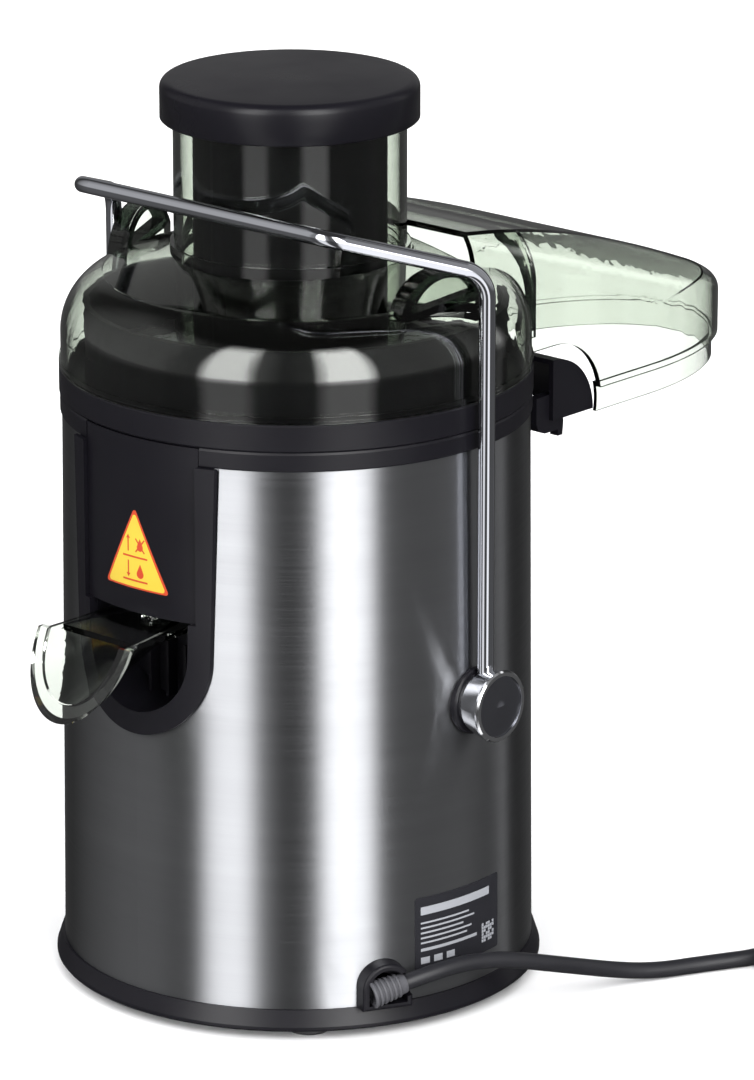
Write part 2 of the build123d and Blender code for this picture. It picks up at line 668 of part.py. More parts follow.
# a thicker rib arches across the mouth of the hood
arch_rib = (outer_hood - hood_solid(lid_wall + 2.6)) & (Pos(-75.5, 0, 265) * Box(3, 200, 44))

with BuildPart() as lid:
    add(outer_dome)
    add(ear.part)
    mirror(ear.part, about=Plane.XZ)
    with BuildSketch(Plane.XY.offset(seam_z)):
        Circle(seam_r)
    extrude(amount=2.6)
    add(outer_hood)
    # the hood hangs outside the casing, with a stepped skirt that the pulp container fits in
    with BuildSketch(Plane.XY):
        Circle(seam_r + 0.4)
    extrude(amount=seam_z, mode=Mode.SUBTRACT)
    with BuildSketch(Plane.XY):
        Rectangle(500, 200)
    extrude(amount=hood_rim_z, mode=Mode.SUBTRACT)
    with Locations((chute_x, 0, 262)):
        Cylinder(chute_r, chute_top_z - 262, align=(Align.CENTER, Align.CENTER, Align.MIN))
        Cylinder(chute_r + 1.4, 26.0, align=(Align.CENTER, Align.CENTER, Align.MIN))
    add(inner_dome, mode=Mode.SUBTRACT)
    add(inner_hood, mode=Mode.SUBTRACT)
    add(arch_rib)
    add(skirt)
    # the tube of the chute reaches down into the basket
    with Locations((chute_x, 0, chute_bottom_z)):
        Cylinder(chute_r - 0.6, 290 - chute_bottom_z, align=(Align.CENTER, Align.CENTER, Align.MIN))
        Cylinder(chute_r - 2.8, 140, align=(Align.CENTER, Align.CENTER, Align.MIN), mode=Mode.SUBTRACT)
    # side walls of the hood start in a round notch above the cheeks of the deflector
    with BuildSketch(Plane.XZ):
        with Locations((notch_x, notch_z)):
            Circle(notch_r)
        with Locations((-74, 217.6)):
            Rectangle(28, 40)
    extrude(amount=70, both=True, mode=Mode.SUBTRACT)
save(lid, "lid")

# ---------------------------------------------------------------- pusher

pusher_bottom_z = chute_bottom_z + 2
chute_axis = Axis((chute_x, 0, 0), (0, 0, 1))
chute_plane = Plane(origin=(chute_x, 0, 0), x_dir=(1, 0, 0), z_dir=(0, -1, 0))

with BuildPart() as pusher_body:
    with BuildSketch(chute_plane):
        Polygon(
            (0, pusher_bottom_z), (pusher_r - 1.5, pusher_bottom_z), (pusher_r, pusher_bottom_z + 1.5),
            (pusher_r, cap_z0), (45.4, cap_z0), (45.4, cap_z0 + 2), (pusher_r - 2.2, cap_z0 + 2),
            (pusher_r - 2.2, pusher_bottom_z + 2.4), (0, pusher_bottom_z + 2.4), align=None,
        )
    revolve(axis=chute_axis)
save(pusher_body, "pusher_body")

plug_r = pusher_r - 2.3  # ring under the cap that plugs into the pusher
with BuildPart() as pusher_cap:
    with BuildSketch(chute_plane):
        with BuildLine():
            Polyline((0, cap_z1), (0, cap_z1 - 3), (plug_r - 2.2, cap_z1 - 3.4), (plug_r - 2.2, cap_z0 - 2),
                     (plug_r, cap_z0 - 2), (plug_r, cap_z0 + 2), (plug_r + 3, cap_z0 + 2), (plug_r + 3, cap_z1 - 3.6),
                     (cap_r - 3, cap_z1 - 5), (cap_r - 3, cap_z0), (cap_r - 0.5, cap_z0), (cap_r, cap_z0 + 0.5),
                     (cap_r, cap_z1 - 4.2))
            ThreePointArc((cap_r, cap_z1 - 4.2), (cap_r - 1.1, cap_z1 - 2.0), (cap_r - 3.4, cap_z1 - 1.2))
            Polyline((cap_r - 3.4, cap_z1 - 1.2), (cap_r * 0.7, cap_z1 - 0.6), (cap_r * 0.35, cap_z1 - 0.1),
                     (0, cap_z1))
        make_face()
    revolve(axis=chute_axis)
save(pusher_cap, "pusher_cap")

# ---------------------------------------------------------------- bail arm and its pivots

leg_y, leg_top_z = 95.0, 290.6
bar_x, bar_half, bar_z = 52.5, 62.0, 308.5
bail_bend = 12.0
leg_end_z = pivot_z + 6.0
pivot_axis = Axis((0, 0, pivot_z), (0, 1, 0))
pivot_plane = Plane.XY.offset(pivot_z)

with BuildPart() as bail_arm:
    with BuildLine() as wire:
        FilletPolyline(
            (0, -leg_y, leg_end_z), (0, -leg_y, leg_top_z), (bar_x, -bar_half, bar_z), (bar_x, bar_half, bar_z),
            (0, leg_y, leg_top_z), (0, leg_y, leg_end_z), radius=bail_bend,
        )
    with BuildSketch(Plane(origin=wire.line @ 0, z_dir=wire.line % 0)):
        Circle(wire_r)
    sweep()
save(bail_arm, "bail_arm")


def turned_pair(outline):
    """Pair of bodies turned about the pivot axis, from (radius, distance from the middle) points."""
    with BuildPart() as pair:
        for side in (-1, 1):
            with BuildSketch(pivot_plane):
                Polygon(*[(r, side * y) for r, y in outline], align=None)
            revolve(axis=pivot_axis)
    return pair


pin_r, pin_end_y = 3.0, 99.5
pivot_pins = turned_pair([(0, 72), (pin_r, 72), (pin_r, 75), (6.4, 75), (6.4, 79), (pin_r, 79), (pin_r, pin_end_y),
                          (0, pin_end_y)])
save(pivot_pins, "pivot_pins")

bush_bore = pin_r + running_gap
washer_blanks = turned_pair([(bush_bore, 86), (13, 86), (13, 90.9), (12.5, 91.4), (bush_bore, 91.4)])
neck_blanks = turned_pair([(bush_bore, 84), (9, 84), (9, 87.6), (6, 87.6), (6, 90.5), (bush_bore, 90.5)])
with BuildPart() as pivot_bushes:
    add(washer_blanks.part)
    # the backs of the washers follow the sleeve
    with BuildSketch(Plane.XZ):
        Polygon((0, 100), (sleeve_outer_r(100), 100), (sleeve_outer_r(150), 150), (0, 150), align=None)
    revolve(axis=Axis.Z, mode=Mode.SUBTRACT)
    add(neck_blanks.part)
save(pivot_bushes, "pivot_bushes")

knob_blanks = turned_pair([(0, 91.6), (11.5, 91.6), (13.8, 101.6), (13.8, 102.4), (13.2, 103), (11.8, 103),
                           (11.8, 101.4), (0, 101.4)])
with BuildPart() as pivot_knobs:
    add(knob_blanks.part)
    add(bail_arm.part, mode=Mode.SUBTRACT)
    add(pivot_pins.part, mode=Mode.SUBTRACT)
save(pivot_knobs, "pivot_knobs")

knob_faces = turned_pair([(0, 101.4), (11.7, 101.4), (11.7, 102.5), (0, 102.8)])
save(knob_faces, "knob_faces")

with BuildPart() as interlock_switch:
    with BuildSketch(Plane.XY.offset(114)):
        with Locations((-13.8, 77)):
            RectangleRounded(13.0, 9.0, 0.8)
    extrude(amount=floor_z - 114)
    with BuildSketch(Plane.XY.offset(109)):
        with Locations((-17, 77), (-11, 77)):
            Rectangle(0.8, 4)
    extrude(amount=5)
save(interlock_switch, "interlock_switch")

# ---------------------------------------------------------------- filter basket, grater and drive

basket_z0, basket_z1 = 187.5, 240.0
basket_r0, basket_r1 = 43.5, 69.0
basket_wall = 0.9

with BuildPart() as filter_basket:
    with BuildSketch(Plane.XZ):
        Polygon(
            (basket_r0 - basket_wall, basket_z0), (basket_r0, basket_z0), (basket_r1, basket_z1),
            (basket_r1 - basket_wall, basket_z1), align=None,
        )
    revolve(axis=Axis.Z)
save(filter_basket, "filter_basket")

with BuildPart() as basket_rim:
    with BuildSketch(Plane.XZ):
        Polygon(
            (basket_r1 - 2.6, basket_z1), (basket_r1 + 2.4, basket_z1), (basket_r1 + 2.8, basket_z1 + 0.6),
            (basket_r1 + 2.8, basket_z1 + 3.6), (basket_r1 + 2.2, basket_z1 + 4.2), (basket_r1 - 2.0, basket_z1 + 4.2),
            align=None,
        )
    revolve(axis=Axis.Z)
save(basket_rim, "basket_rim")

coupler_r = 10.0
with BuildPart() as basket_hub:
    with BuildSketch(Plane.XZ):
        Polygon(
            (0, 184.5), (basket_r0 + 1.2, 184.5), (basket_r0 + 1.2, basket_z0), (0, basket_z0),
            align=None,
        )
    revolve(axis=Axis.Z)
    with BuildSketch(Plane.XY.offset(168)):
        Circle(14.8)
    extrude(amount=17)
    with BuildSketch(Plane.XY.offset(168)):
        RegularPolygon(coupler_r + 0.15, 6)
    extrude(amount=10.5, mode=Mode.SUBTRACT)
    with BuildSketch(Plane.XY.offset(168)):
        Circle(shaft_r + 0.1)
    extrude(amount=13, mode=Mode.SUBTRACT)
save(basket_hub, "basket_hub")

tooth_rings = ((12, 10), (20, 18), (28, 26), (36, 34))  # (radius, number of teeth)
with BuildPart() as grater_disc:
    with BuildSketch(Plane.XY.offset(basket_z0)):
        Circle(basket_r0 - basket_wall - 0.1)
    extrude(amount=1.0)
    for ring_r, count in tooth_rings:
        with BuildSketch(Plane.XY.offset(basket_z0 + 1.0)):
            with PolarLocations(ring_r, count):
                Triangle(a=3.0, b=3.0, c=3.0)
        extrude(amount=2.0, taper=20)
save(grater_disc, "grater_disc")

with BuildPart() as drive_coupler:
    with BuildSketch(Plane.XY.offset(161)):
        Circle(13.2)
    extrude(amount=4)
    with BuildSketch(Plane.XY.offset(165)):
        RegularPolygon(coupler_r, 6)
    extrude(amount=13.5)
    with BuildSketch(Plane.XY.offset(160)):
        Circle(shaft_r)
    extrude(amount=20, mode=Mode.SUBTRACT)
save(drive_coupler, "drive_coupler")

with BuildPart() as motor_shaft:
    with BuildSketch(Plane.XY.offset(28)):
        Circle(shaft_r)
    extrude(amount=152)
    chamfer(motor_shaft.edges().filter_by(GeomType.CIRCLE), length=0.6)
save(motor_shaft, "motor_shaft")

# ---------------------------------------------------------------- motor

core_z0, core_z1 = 66.0, 100.0
rotor_r, air_gap = 21.6, 0.7
winding_h = 7.0

with BuildPart() as rotor_core:
    with BuildSketch(Plane.XY.offset(core_z0)):
        Circle(rotor_r)
        Circle(shaft_r, mode=Mode.SUBTRACT)
    extrude(amount=core_z1 - core_z0)
    with BuildSketch(Plane.XY.offset(core_z0)):
        with PolarLocations(rotor_r - 3.2, 12):
            Rectangle(7.2, 2.6)
    extrude(amount=core_z1 - core_z0, mode=Mode.SUBTRACT)
save(rotor_core, "rotor_core")

with BuildPart() as rotor_windings:
    for z0 in (core_z0 - winding_h, core_z1):
        with BuildSketch(Plane.XY.offset(z0)):
            Circle(rotor_r - 1.6)
            Circle(shaft_r + 1.5, mode=Mode.SUBTRACT)
        extrude(amount=winding_h)
    fillet(rotor_windings.edges().filter_by(GeomType.CIRCLE).group_by(SortBy.RADIUS)[-1], radius=2.0)
save(rotor_windings, "rotor_windings")

with BuildPart() as commutator:
    with BuildSketch(Plane.XY.offset(44)):
        Circle(10.5)
        Circle(shaft_r, mode=Mode.SUBTRACT)
        with PolarLocations(10.3, 24):
            Rectangle(1.6, 0.5, mode=Mode.SUBTRACT)
    extrude(amount=13)
save(commutator, "commutator")

fan_z0, fan_r = 109.0, 26.5
with BuildPart() as cooling_fan:
    with BuildSketch(Plane.XY.offset(fan_z0)):
        Circle(fan_r)
        Circle(shaft_r, mode=Mode.SUBTRACT)
    extrude(amount=1.5)
    with BuildSketch(Plane.XY.offset(fan_z0)):
        Circle(8.5)
        Circle(shaft_r, mode=Mode.SUBTRACT)
    extrude(amount=9)
    with BuildSketch(Plane.XY.offset(fan_z0 + 1.5)):
        with PolarLocations(16.9, 12):
            Rectangle(18.4, 1.3)
    extrude(amount=7.0)
save(cooling_fan, "cooling_fan")

window_x, window_w, window_half = 29.0, 10.0, 19.0
with BuildPart() as stator_core:
    with BuildSketch(Plane.XY.offset(core_z0)):
        RectangleRounded(80, 64, 7)
        Circle(rotor_r + air_gap, mode=Mode.SUBTRACT)
        with Locations((-window_x, 0), (window_x, 0)):
            RectangleRounded(window_w, 2 * window_half, 1.5, mode=Mode.SUBTRACT)
    extrude(amount=core_z1 - core_z0)
save(stator_core, "stator_core")

coil_r0, coil_r1 = 23.2, 28.5
with BuildPart() as field_coils:
    for side in (-1, 1):
        for z0, height in ((core_z0 - winding_h, winding_h), (core_z1, winding_h)):
            with BuildSketch(Plane.XY.offset(z0)):
                Circle(coil_r1)
                Circle(coil_r0, mode=Mode.SUBTRACT)
                with Locations((0, side * 20.5)):
                    Rectangle(80, 28.6, mode=Mode.INTERSECT)
            extrude(amount=height)
        for x in (-window_x, window_x):
            with BuildSketch(Plane.XY.offset(core_z0 - winding_h)):
                with Locations((x, side * 11)):
                    Rectangle(window_w - 2.4, 9.0)
            extrude(amount=core_z1 - core_z0 + 2 * winding_h)
save(field_coils, "field_coils")

bearing_r = 11.0
leg_in, leg_out = 28.9, 31.9

with BuildPart() as lower_bracket:
    with BuildSketch(Plane.XY.offset(30)):
        Rectangle(26, 2 * leg_out)
        Circle(bearing_r, mode=Mode.SUBTRACT)
    extrude(amount=6)
    with BuildSketch(Plane.XY.offset(36)):
        with Locations((0, -(leg_in + leg_out) / 2), (0, (leg_in + leg_out) / 2)):
            Rectangle(18, leg_out - leg_in)
    extrude(amount=core_z0 - 36)
save(lower_bracket, "lower_bracket")

damper_r = 6.5
with BuildPart() as upper_bracket:
    with BuildSketch(Plane.XY.offset(bracket_z)):
        Circle(58)
        Circle(bearing_r, mode=Mode.SUBTRACT)
        with PolarLocations(30, 8, start_angle=22.5):
            Circle(7.0, mode=Mode.SUBTRACT)
        with PolarLocations(damper_ring_r, 4, start_angle=45):
            Circle(2.15, mode=Mode.SUBTRACT)
    extrude(amount=6)
    with BuildSketch(Plane.XY.offset(core_z1)):
        with Locations((0, -(leg_in + leg_out) / 2), (0, (leg_in + leg_out) / 2)):
            Rectangle(18, leg_out - leg_in)
    extrude(amount=bracket_z - core_z1)
save(upper_bracket, "upper_bracket")

with BuildPart() as bearings:
    for z0 in (30.3, bracket_z + 0.3):
        with BuildSketch(Plane.XY.offset(z0)):
            Circle(bearing_r)
            Circle(shaft_r + running_gap, mode=Mode.SUBTRACT)
        extrude(amount=5.4)
save(bearings, "bearings")

with BuildPart() as motor_dampers:
    with BuildSketch(Plane.XY.offset(bracket_z + 6)):
        with PolarLocations(damper_ring_r, 4, start_angle=45):
            Circle(damper_r)
            Circle(2.1, mode=Mode.SUBTRACT)
    extrude(amount=floor_z - bracket_z - 6)
save(motor_dampers, "motor_dampers")

with BuildPart() as motor_screws:
    with BuildSketch(Plane.XY.offset(bracket_z - 2.6)):
        with PolarLocations(damper_ring_r, 4, start_angle=45):
            Circle(3.6)
    extrude(amount=2.6)
    with BuildSketch(Plane.XY.offset(bracket_z)):
        with PolarLocations(damper_ring_r, 4, start_angle=45):
            Circle(1.9)
    extrude(amount=floor_z + 2.4 - bracket_z)
    with BuildSketch(Plane.XY.offset(bracket_z - 2.6)):
        with PolarLocations(damper_ring_r, 4, start_angle=45):
            Rectangle(4.4, 0.9)
            Rectangle(0.9, 4.4)
    extrude(amount=1.4, mode=Mode.SUBTRACT)
save(motor_screws, "motor_screws")

with BuildPart() as brush_plate:
    with BuildSketch(Plane.XY.offset(40)):
        Circle(27)
        Rectangle(16, 2 * leg_in)
        Circle(12.5, mode=Mode.SUBTRACT)
    extrude(amount=3)
    with BuildSketch(Plane.XY.offset(43)):
        with Locations((-21, 0), (21, 0)):
            Rectangle(14, 11)
            Rectangle(16, 6.4, mode=Mode.SUBTRACT)
    extrude(amount=11)
save(brush_plate, "brush_plate")

with BuildPart() as carbon_brushes:
    with BuildSketch(Plane.XY.offset(45)):
        with Locations((-17.5, 0), (17.5, 0)):
            Rectangle(13, 6.2)
    extrude(amount=7.5)
    with BuildSketch(Plane.XY):
        Circle(10.7)
    extrude(amount=80, mode=Mode.SUBTRACT)
save(carbon_brushes, "carbon_brushes")

# ---------------------------------------------------------------- control dial, switch and circuit board

dial_z, dial_r = 62.0, 18.0
front = Plane(origin=(0, 0, dial_z), x_dir=(1, 0, 0), z_dir=(0, -1, 0))
bezel_r, stem_r, spindle_r = 22.0, 5.5, 3.0

with BuildPart() as dial_bezel:
    with BuildSketch(front.offset(84)):
        Circle(bezel_r)
        Circle(stem_r + 0.4, mode=Mode.SUBTRACT)
    extrude(amount=8.6)
    fillet(dial_bezel.edges().filter_by(GeomType.CIRCLE).group_by(Axis.Y)[0].sort_by(SortBy.RADIUS)[-1], radius=1.2)
    with BuildSketch(Plane.XY):
        Circle(sleeve_outer_r(dial_z - bezel_r))
    extrude(amount=150, mode=Mode.SUBTRACT)
    # collar through the sleeve, up to the switch
    with BuildSketch(front.offset(84)):
        Circle(8.9)
        Circle(stem_r + 0.4, mode=Mode.SUBTRACT)
    extrude(amount=7.5)
save(dial_bezel, "dial_bezel")

with BuildPart() as control_dial:
    with BuildSketch(front.offset(93.0)):
        Circle(dial_r)
    extrude(amount=5.5, taper=4)
    fillet(control_dial.edges().filter_by(GeomType.CIRCLE).group_by(Axis.Y)[0], radius=1.0)
    with BuildSketch(front.offset(98.4)):
        RectangleRounded(7.0, 2 * dial_r - 4, 3.0)
    extrude(amount=7.5, taper=6)
    with BuildSketch(front.offset(89.0)):
        Circle(stem_r)
    extrude(amount=5)
    with BuildSketch(front.offset(80)):
        Circle(spindle_r)
    extrude(amount=19, mode=Mode.SUBTRACT)
save(control_dial, "control_dial")

with BuildPart() as dial_spindle:
    with BuildSketch(front.offset(79)):
        Circle(spindle_r)
    extrude(amount=19.9)
save(dial_spindle, "dial_spindle")

with BuildPart() as rotary_switch:
    with BuildSketch(front.offset(68)):
        RectangleRounded(26, 24, 2)
    extrude(amount=16)
    with BuildSketch(front.offset(84)):
        Circle(4.9)
    extrude(amount=4.6)
    with BuildSketch(front.offset(78.8)):
        Circle(spindle_r + running_gap)
    extrude(amount=12, mode=Mode.SUBTRACT)
save(rotary_switch, "rotary_switch")

with BuildPart() as circuit_board:
    with BuildSketch(front.offset(66.4)):
        RectangleRounded(58, 44, 2)
    extrude(amount=1.6)
    with BuildSketch(front.offset(54)):
        with Locations((-17, 8)):
            RectangleRounded(16, 13, 1)
        with Locations((17, -6)):
            Circle(6)
        with Locations((-14, -12), (2, 13)):
            RectangleRounded(8, 9, 1)
    extrude(amount=12.4)
save(circuit_board, "circuit_board")
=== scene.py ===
from math import cos, pi, radians, sin

import bmesh
import bpy
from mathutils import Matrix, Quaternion, Vector


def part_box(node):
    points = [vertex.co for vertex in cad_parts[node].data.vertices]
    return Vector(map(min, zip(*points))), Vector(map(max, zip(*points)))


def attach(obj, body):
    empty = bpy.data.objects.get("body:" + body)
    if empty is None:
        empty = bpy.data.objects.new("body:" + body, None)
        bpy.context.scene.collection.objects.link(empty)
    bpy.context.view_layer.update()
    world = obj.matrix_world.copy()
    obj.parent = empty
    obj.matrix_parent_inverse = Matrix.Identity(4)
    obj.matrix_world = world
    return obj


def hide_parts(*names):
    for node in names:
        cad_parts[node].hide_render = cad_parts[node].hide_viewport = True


bl_info = {
    "name": "Centrifugal juicer",
    "version": (1, 0, 0),
    "blender": (4, 5, 0),
    "location": "3D View > Sidebar > Juicer",
    "description": "Finishes, lid, spout, cord and studio for an upright centrifugal juicer",
    "category": "Object",
}

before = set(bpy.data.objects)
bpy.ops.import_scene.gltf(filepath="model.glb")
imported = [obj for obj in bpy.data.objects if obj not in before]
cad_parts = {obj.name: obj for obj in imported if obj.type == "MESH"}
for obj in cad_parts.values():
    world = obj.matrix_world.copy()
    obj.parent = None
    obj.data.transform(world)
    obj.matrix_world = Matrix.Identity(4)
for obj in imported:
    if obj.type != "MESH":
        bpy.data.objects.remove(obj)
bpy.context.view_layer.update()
MM = 0.001


def linear(hex_code):
    """sRGB hex colour to the linear red, green, blue and alpha that shaders use."""
    channels = [int(hex_code[i:i + 2], 16) / 255 for i in (1, 3, 5)]
    return [c / 12.92 if c <= 0.04045 else ((c + 0.055) / 1.055) ** 2.4 for c in channels] + [1.0]


def colour_property(name, description, hex_code):
    return bpy.props.FloatVectorProperty(
        name=name, description=description, subtype="COLOR", size=4, min=0.0, max=1.0,
        default=linear(hex_code),
    )


class JuicerColours(bpy.types.PropertyGroup):
    """Colours of the finishes a user would change."""

    black: colour_property("Black parts", "Base, housing, spout panel, bowl and pusher", "#100f14")
    steel: colour_property("Steel drum", "Brushed steel of the drum", "#9b9c9f")
    lid_tint: colour_property("Lid tint", "Smoky tint of the transparent lid and spout", "#dde3da")
    sticker_ground: colour_property("Sticker ground", "Yellow ground of the spout sticker", "#c4a936")
    sticker_border: colour_property("Sticker border", "Border and icons of the spout sticker", "#b03d20")
    floor: colour_property("Floor", "Studio floor", "#f4f4f5")


class JuicerSizes(bpy.types.PropertyGroup):
    """Sizes of the pieces made here."""

    cord_diameter: bpy.props.FloatProperty(
        name="Cord diameter", description="Outside diameter of the mains cord",
        unit="LENGTH", default=6.4 * MM,
    )
    cord_length: bpy.props.FloatProperty(
        name="Cord length", description="Length of the mains cord from the strain relief to the plug",
        unit="LENGTH", default=1.187
    )
    rib_count: bpy.props.IntProperty(
        name="Relief ribs", description="Ribs on the cord's strain relief", default=6, min=1
    )
    camera_lens: bpy.props.FloatProperty(
        name="Lens", description="Focal length of the camera, in millimetres", default=209.1
    )


# ---------------------------------------------------------------- shader building


def add_node(tree, kind, inputs=None, **settings):
    """Adds a node. inputs maps a socket's name or number to a value, or to the output it is linked from."""
    made = tree.nodes.new(kind)
    for key, value in settings.items():
        setattr(made, key, value)
    for key, value in (inputs or {}).items():
        if isinstance(value, bpy.types.NodeSocket):
            tree.links.new(value, made.inputs[key])
        else:
            made.inputs[key].default_value = value
    return made


def start_material(name, **constants):
    """A material with one Principled shader. constants are its sockets' values, underscores for spaces."""
    material = bpy.data.materials.new(name)
    material.use_nodes = True
    tree = material.node_tree
    tree.nodes.clear()
    values = {socket.replace("_", " "): value for socket, value in constants.items()}
    shader = add_node(tree, "ShaderNodeBsdfPrincipled", values)
    add_node(tree, "ShaderNodeOutputMaterial", {"Surface": shader.outputs[0]})
    return material, tree, shader


def pattern_space(tree, scale=(1, 1, 1)):
    """Object coordinates in metres, stretched for a pattern."""
    place = add_node(tree, "ShaderNodeTexCoord")
    return add_node(tree, "ShaderNodeMapping", {"Vector": place.outputs["Object"], "Scale": scale}).outputs[0]


def noise(tree, scale, detail, roughness=0.5, stretch=(1, 1, 1)):
    """Noise that is fixed to the piece, scale blobs to the metre."""
    return add_node(tree, "ShaderNodeTexNoise", {
        "Vector": pattern_space(tree, stretch), "Scale": scale, "Detail": detail, "Roughness": roughness,
    }).outputs[0]


def mapped(tree, value, low, high, from_low=0.3, from_high=0.7):
    """value carried from one span to another. The first span defaults to where noise mostly lies."""
    return add_node(tree, "ShaderNodeMapRange", {
        "Value": value, "From Min": from_low, "From Max": from_high, "To Min": low, "To Max": high,
    }).outputs[0]


def blended(tree, factor, first, second):
    """Colour or grey between first and second by factor."""
    ramp = add_node(tree, "ShaderNodeValToRGB", {"Fac": factor})
    ramp.color_ramp.elements[0].color = first
    ramp.color_ramp.elements[1].color = second
    return ramp


def calculated(tree, operation, first, second):
    """One arithmetic step on two values or outputs."""
    return add_node(tree, "ShaderNodeMath", {0: first, 1: second}, operation=operation).outputs[0]


def feed(tree, shader, **sources):
    """Links outputs to a shader's sockets, named with underscores for spaces."""
    for socket, source in sources.items():
        tree.links.new(source, shader.inputs[socket.replace("_", " ")])


def bumped(tree, height, strength, distance):
    """Normal of a surface that rises with height."""
    return add_node(tree, "ShaderNodeBump", {
        "Height": height, "Strength": strength, "Distance": distance}).outputs[0]


def grey(value):
    return (value, value, value, 1.0)


def shaded(colour, share):
    """The colour with its light cut to a share."""
    return [c * share for c in colour[:3]] + [1.0]


def moulded_plastic(name, colour, rough=0.36, grain=0.5 * MM, depth=0.02):
    """Injection-moulded ABS: a fine spark-eroded grain breaks up the gloss, and its flow varies a little."""
    material, tree, shader = start_material(
        name, Base_Color=colour, Roughness=rough, IOR=1.53, Specular_IOR_Level=0.22)
    flow = noise(tree, 22.0, 3.0)
    feed(tree, shader,
         Base_Color=blended(tree, flow, shaded(colour, 0.82), list(colour)).outputs[0],
         Roughness=mapped(tree, flow, rough - 0.05, rough + 0.06),
         Normal=bumped(tree, noise(tree, 1 / grain, 2.0, 0.6), depth * 10, 0.05 * MM))
    return material


def brushed_stainless(name, colour, rough=0.37):
    """Stainless sheet brushed round the drum: hair lines run level, so highlights stand as upright bands."""
    material, tree, shader = start_material(
        name, Base_Color=colour, Metallic=1.0, Roughness=rough, Anisotropic=1.0, Anisotropic_Rotation=0.25)
    # lines are 0.35 mm apart, coarser than real brushing, so that they show
    lines = noise(tree, 1.0, 3.0, 0.65, stretch=(7, 7, 1 / (0.35 * MM)))
    wide = noise(tree, 1.0, 2.0, stretch=(5, 5, 130))
    around = add_node(tree, "ShaderNodeTangent", direction_type="RADIAL", axis="Z")
    feed(tree, shader,
         Base_Color=blended(tree, wide, shaded(colour, 0.86), list(colour)).outputs[0],
         Roughness=mapped(tree, lines, rough - 0.06, rough + 0.07),
         Normal=bumped(tree, lines, 0.12, 0.03 * MM), Tangent=around.outputs[0])
    return material


def bare_metal(name, colour, rough, grain=0.4 * MM, metallic=1.0):
    """Plated, drawn or ground metal: nearly clean, with faint polishing marks in the gloss."""
    material, tree, shader = start_material(name, Base_Color=colour, Metallic=metallic, Roughness=rough)
    marks, cloud = noise(tree, 1 / grain, 4.0, 0.6), noise(tree, 60.0, 2.0)
    feed(tree, shader,
         Base_Color=blended(tree, cloud, shaded(colour, 0.92), list(colour)).outputs[0],
         Roughness=mapped(tree, marks, max(rough - 0.04, 0.02), rough + 0.05))
    return material


def clear_san(name, tint, rough=0.0):
    """Clear SAN, injection moulded and smoke tinted: thick edges look nearly black, faces nearly clear."""
    material, tree, shader = start_material(
        name, Base_Color=tint, Roughness=rough, IOR=1.5, Transmission_Weight=1.0)
    flow = noise(tree, 35.0, 2.0)
    feed(tree, shader, Roughness=mapped(tree, flow, rough, rough + 0.03, from_low=0.35),
         Normal=bumped(tree, flow, 0.05, 0.3 * MM))
    return material


def soft_rubber(name, colour, rough=0.6, grain=0.35 * MM):
    """Moulded rubber or flexible PVC: matte skin with a fine pebble and faint dust."""
    material, tree, shader = start_material(name, Base_Color=colour, Roughness=rough, IOR=1.5)
    pebble = add_node(tree, "ShaderNodeTexVoronoi", {"Vector": pattern_space(tree), "Scale": 1 / grain})
    dusty = [min(c * 1.35 + 0.004, 1) for c in colour[:3]] + [1.0]
    feed(tree, shader,
         Base_Color=blended(tree, noise(tree, 90.0, 4.0), list(colour), dusty).outputs[0],
         Normal=bumped(tree, pebble.outputs[0], 0.2, 0.04 * MM))
    return material


def perforated_sheet(name, colour):
    """Etched stainless sheet: fine holes 1.2 mm apart, drawn coarser than the real ones so that they show."""
    material, tree, shader = start_material(name, Base_Color=colour, Metallic=1.0, Roughness=0.3)
    holes = add_node(tree, "ShaderNodeTexVoronoi", {
        "Vector": pattern_space(tree), "Scale": 1 / (1.2 * MM), "Randomness": 0.15})
    ramp = blended(tree, holes.outputs[0], grey(0.01), list(colour))
    ramp.color_ramp.elements[0].position, ramp.color_ramp.elements[1].position = 0.28, 0.36
    feed(tree, shader, Base_Color=ramp.outputs[0], Normal=bumped(tree, ramp.outputs[0], 0.4, 0.2 * MM))
    return material


def layered(name, colour, other, pitch, metallic, rough):
    """Stacked sheets or wound wire: thin bands of two tones up the piece, a pitch apart."""
    material, tree, shader = start_material(name, Base_Color=colour, Metallic=metallic, Roughness=rough)
    bands = add_node(tree, "ShaderNodeTexWave", {
        "Vector": pattern_space(tree), "Scale": 1 / pitch / 20 * 2 * pi, "Distortion": 0.4},
        wave_type="BANDS", bands_direction="Z").outputs["Fac"]
    feed(tree, shader, Base_Color=blended(tree, bands, list(colour), list(other)).outputs[0],
         Normal=bumped(tree, bands, 0.4, 0.1 * MM))
    return material


def printed_film(name, colour, rough=0.4):
    """Printed polyester film: smooth and flat, with hardly any grain."""
    return moulded_plastic(name, colour, rough=rough, grain=1.0 * MM, depth=0.005)


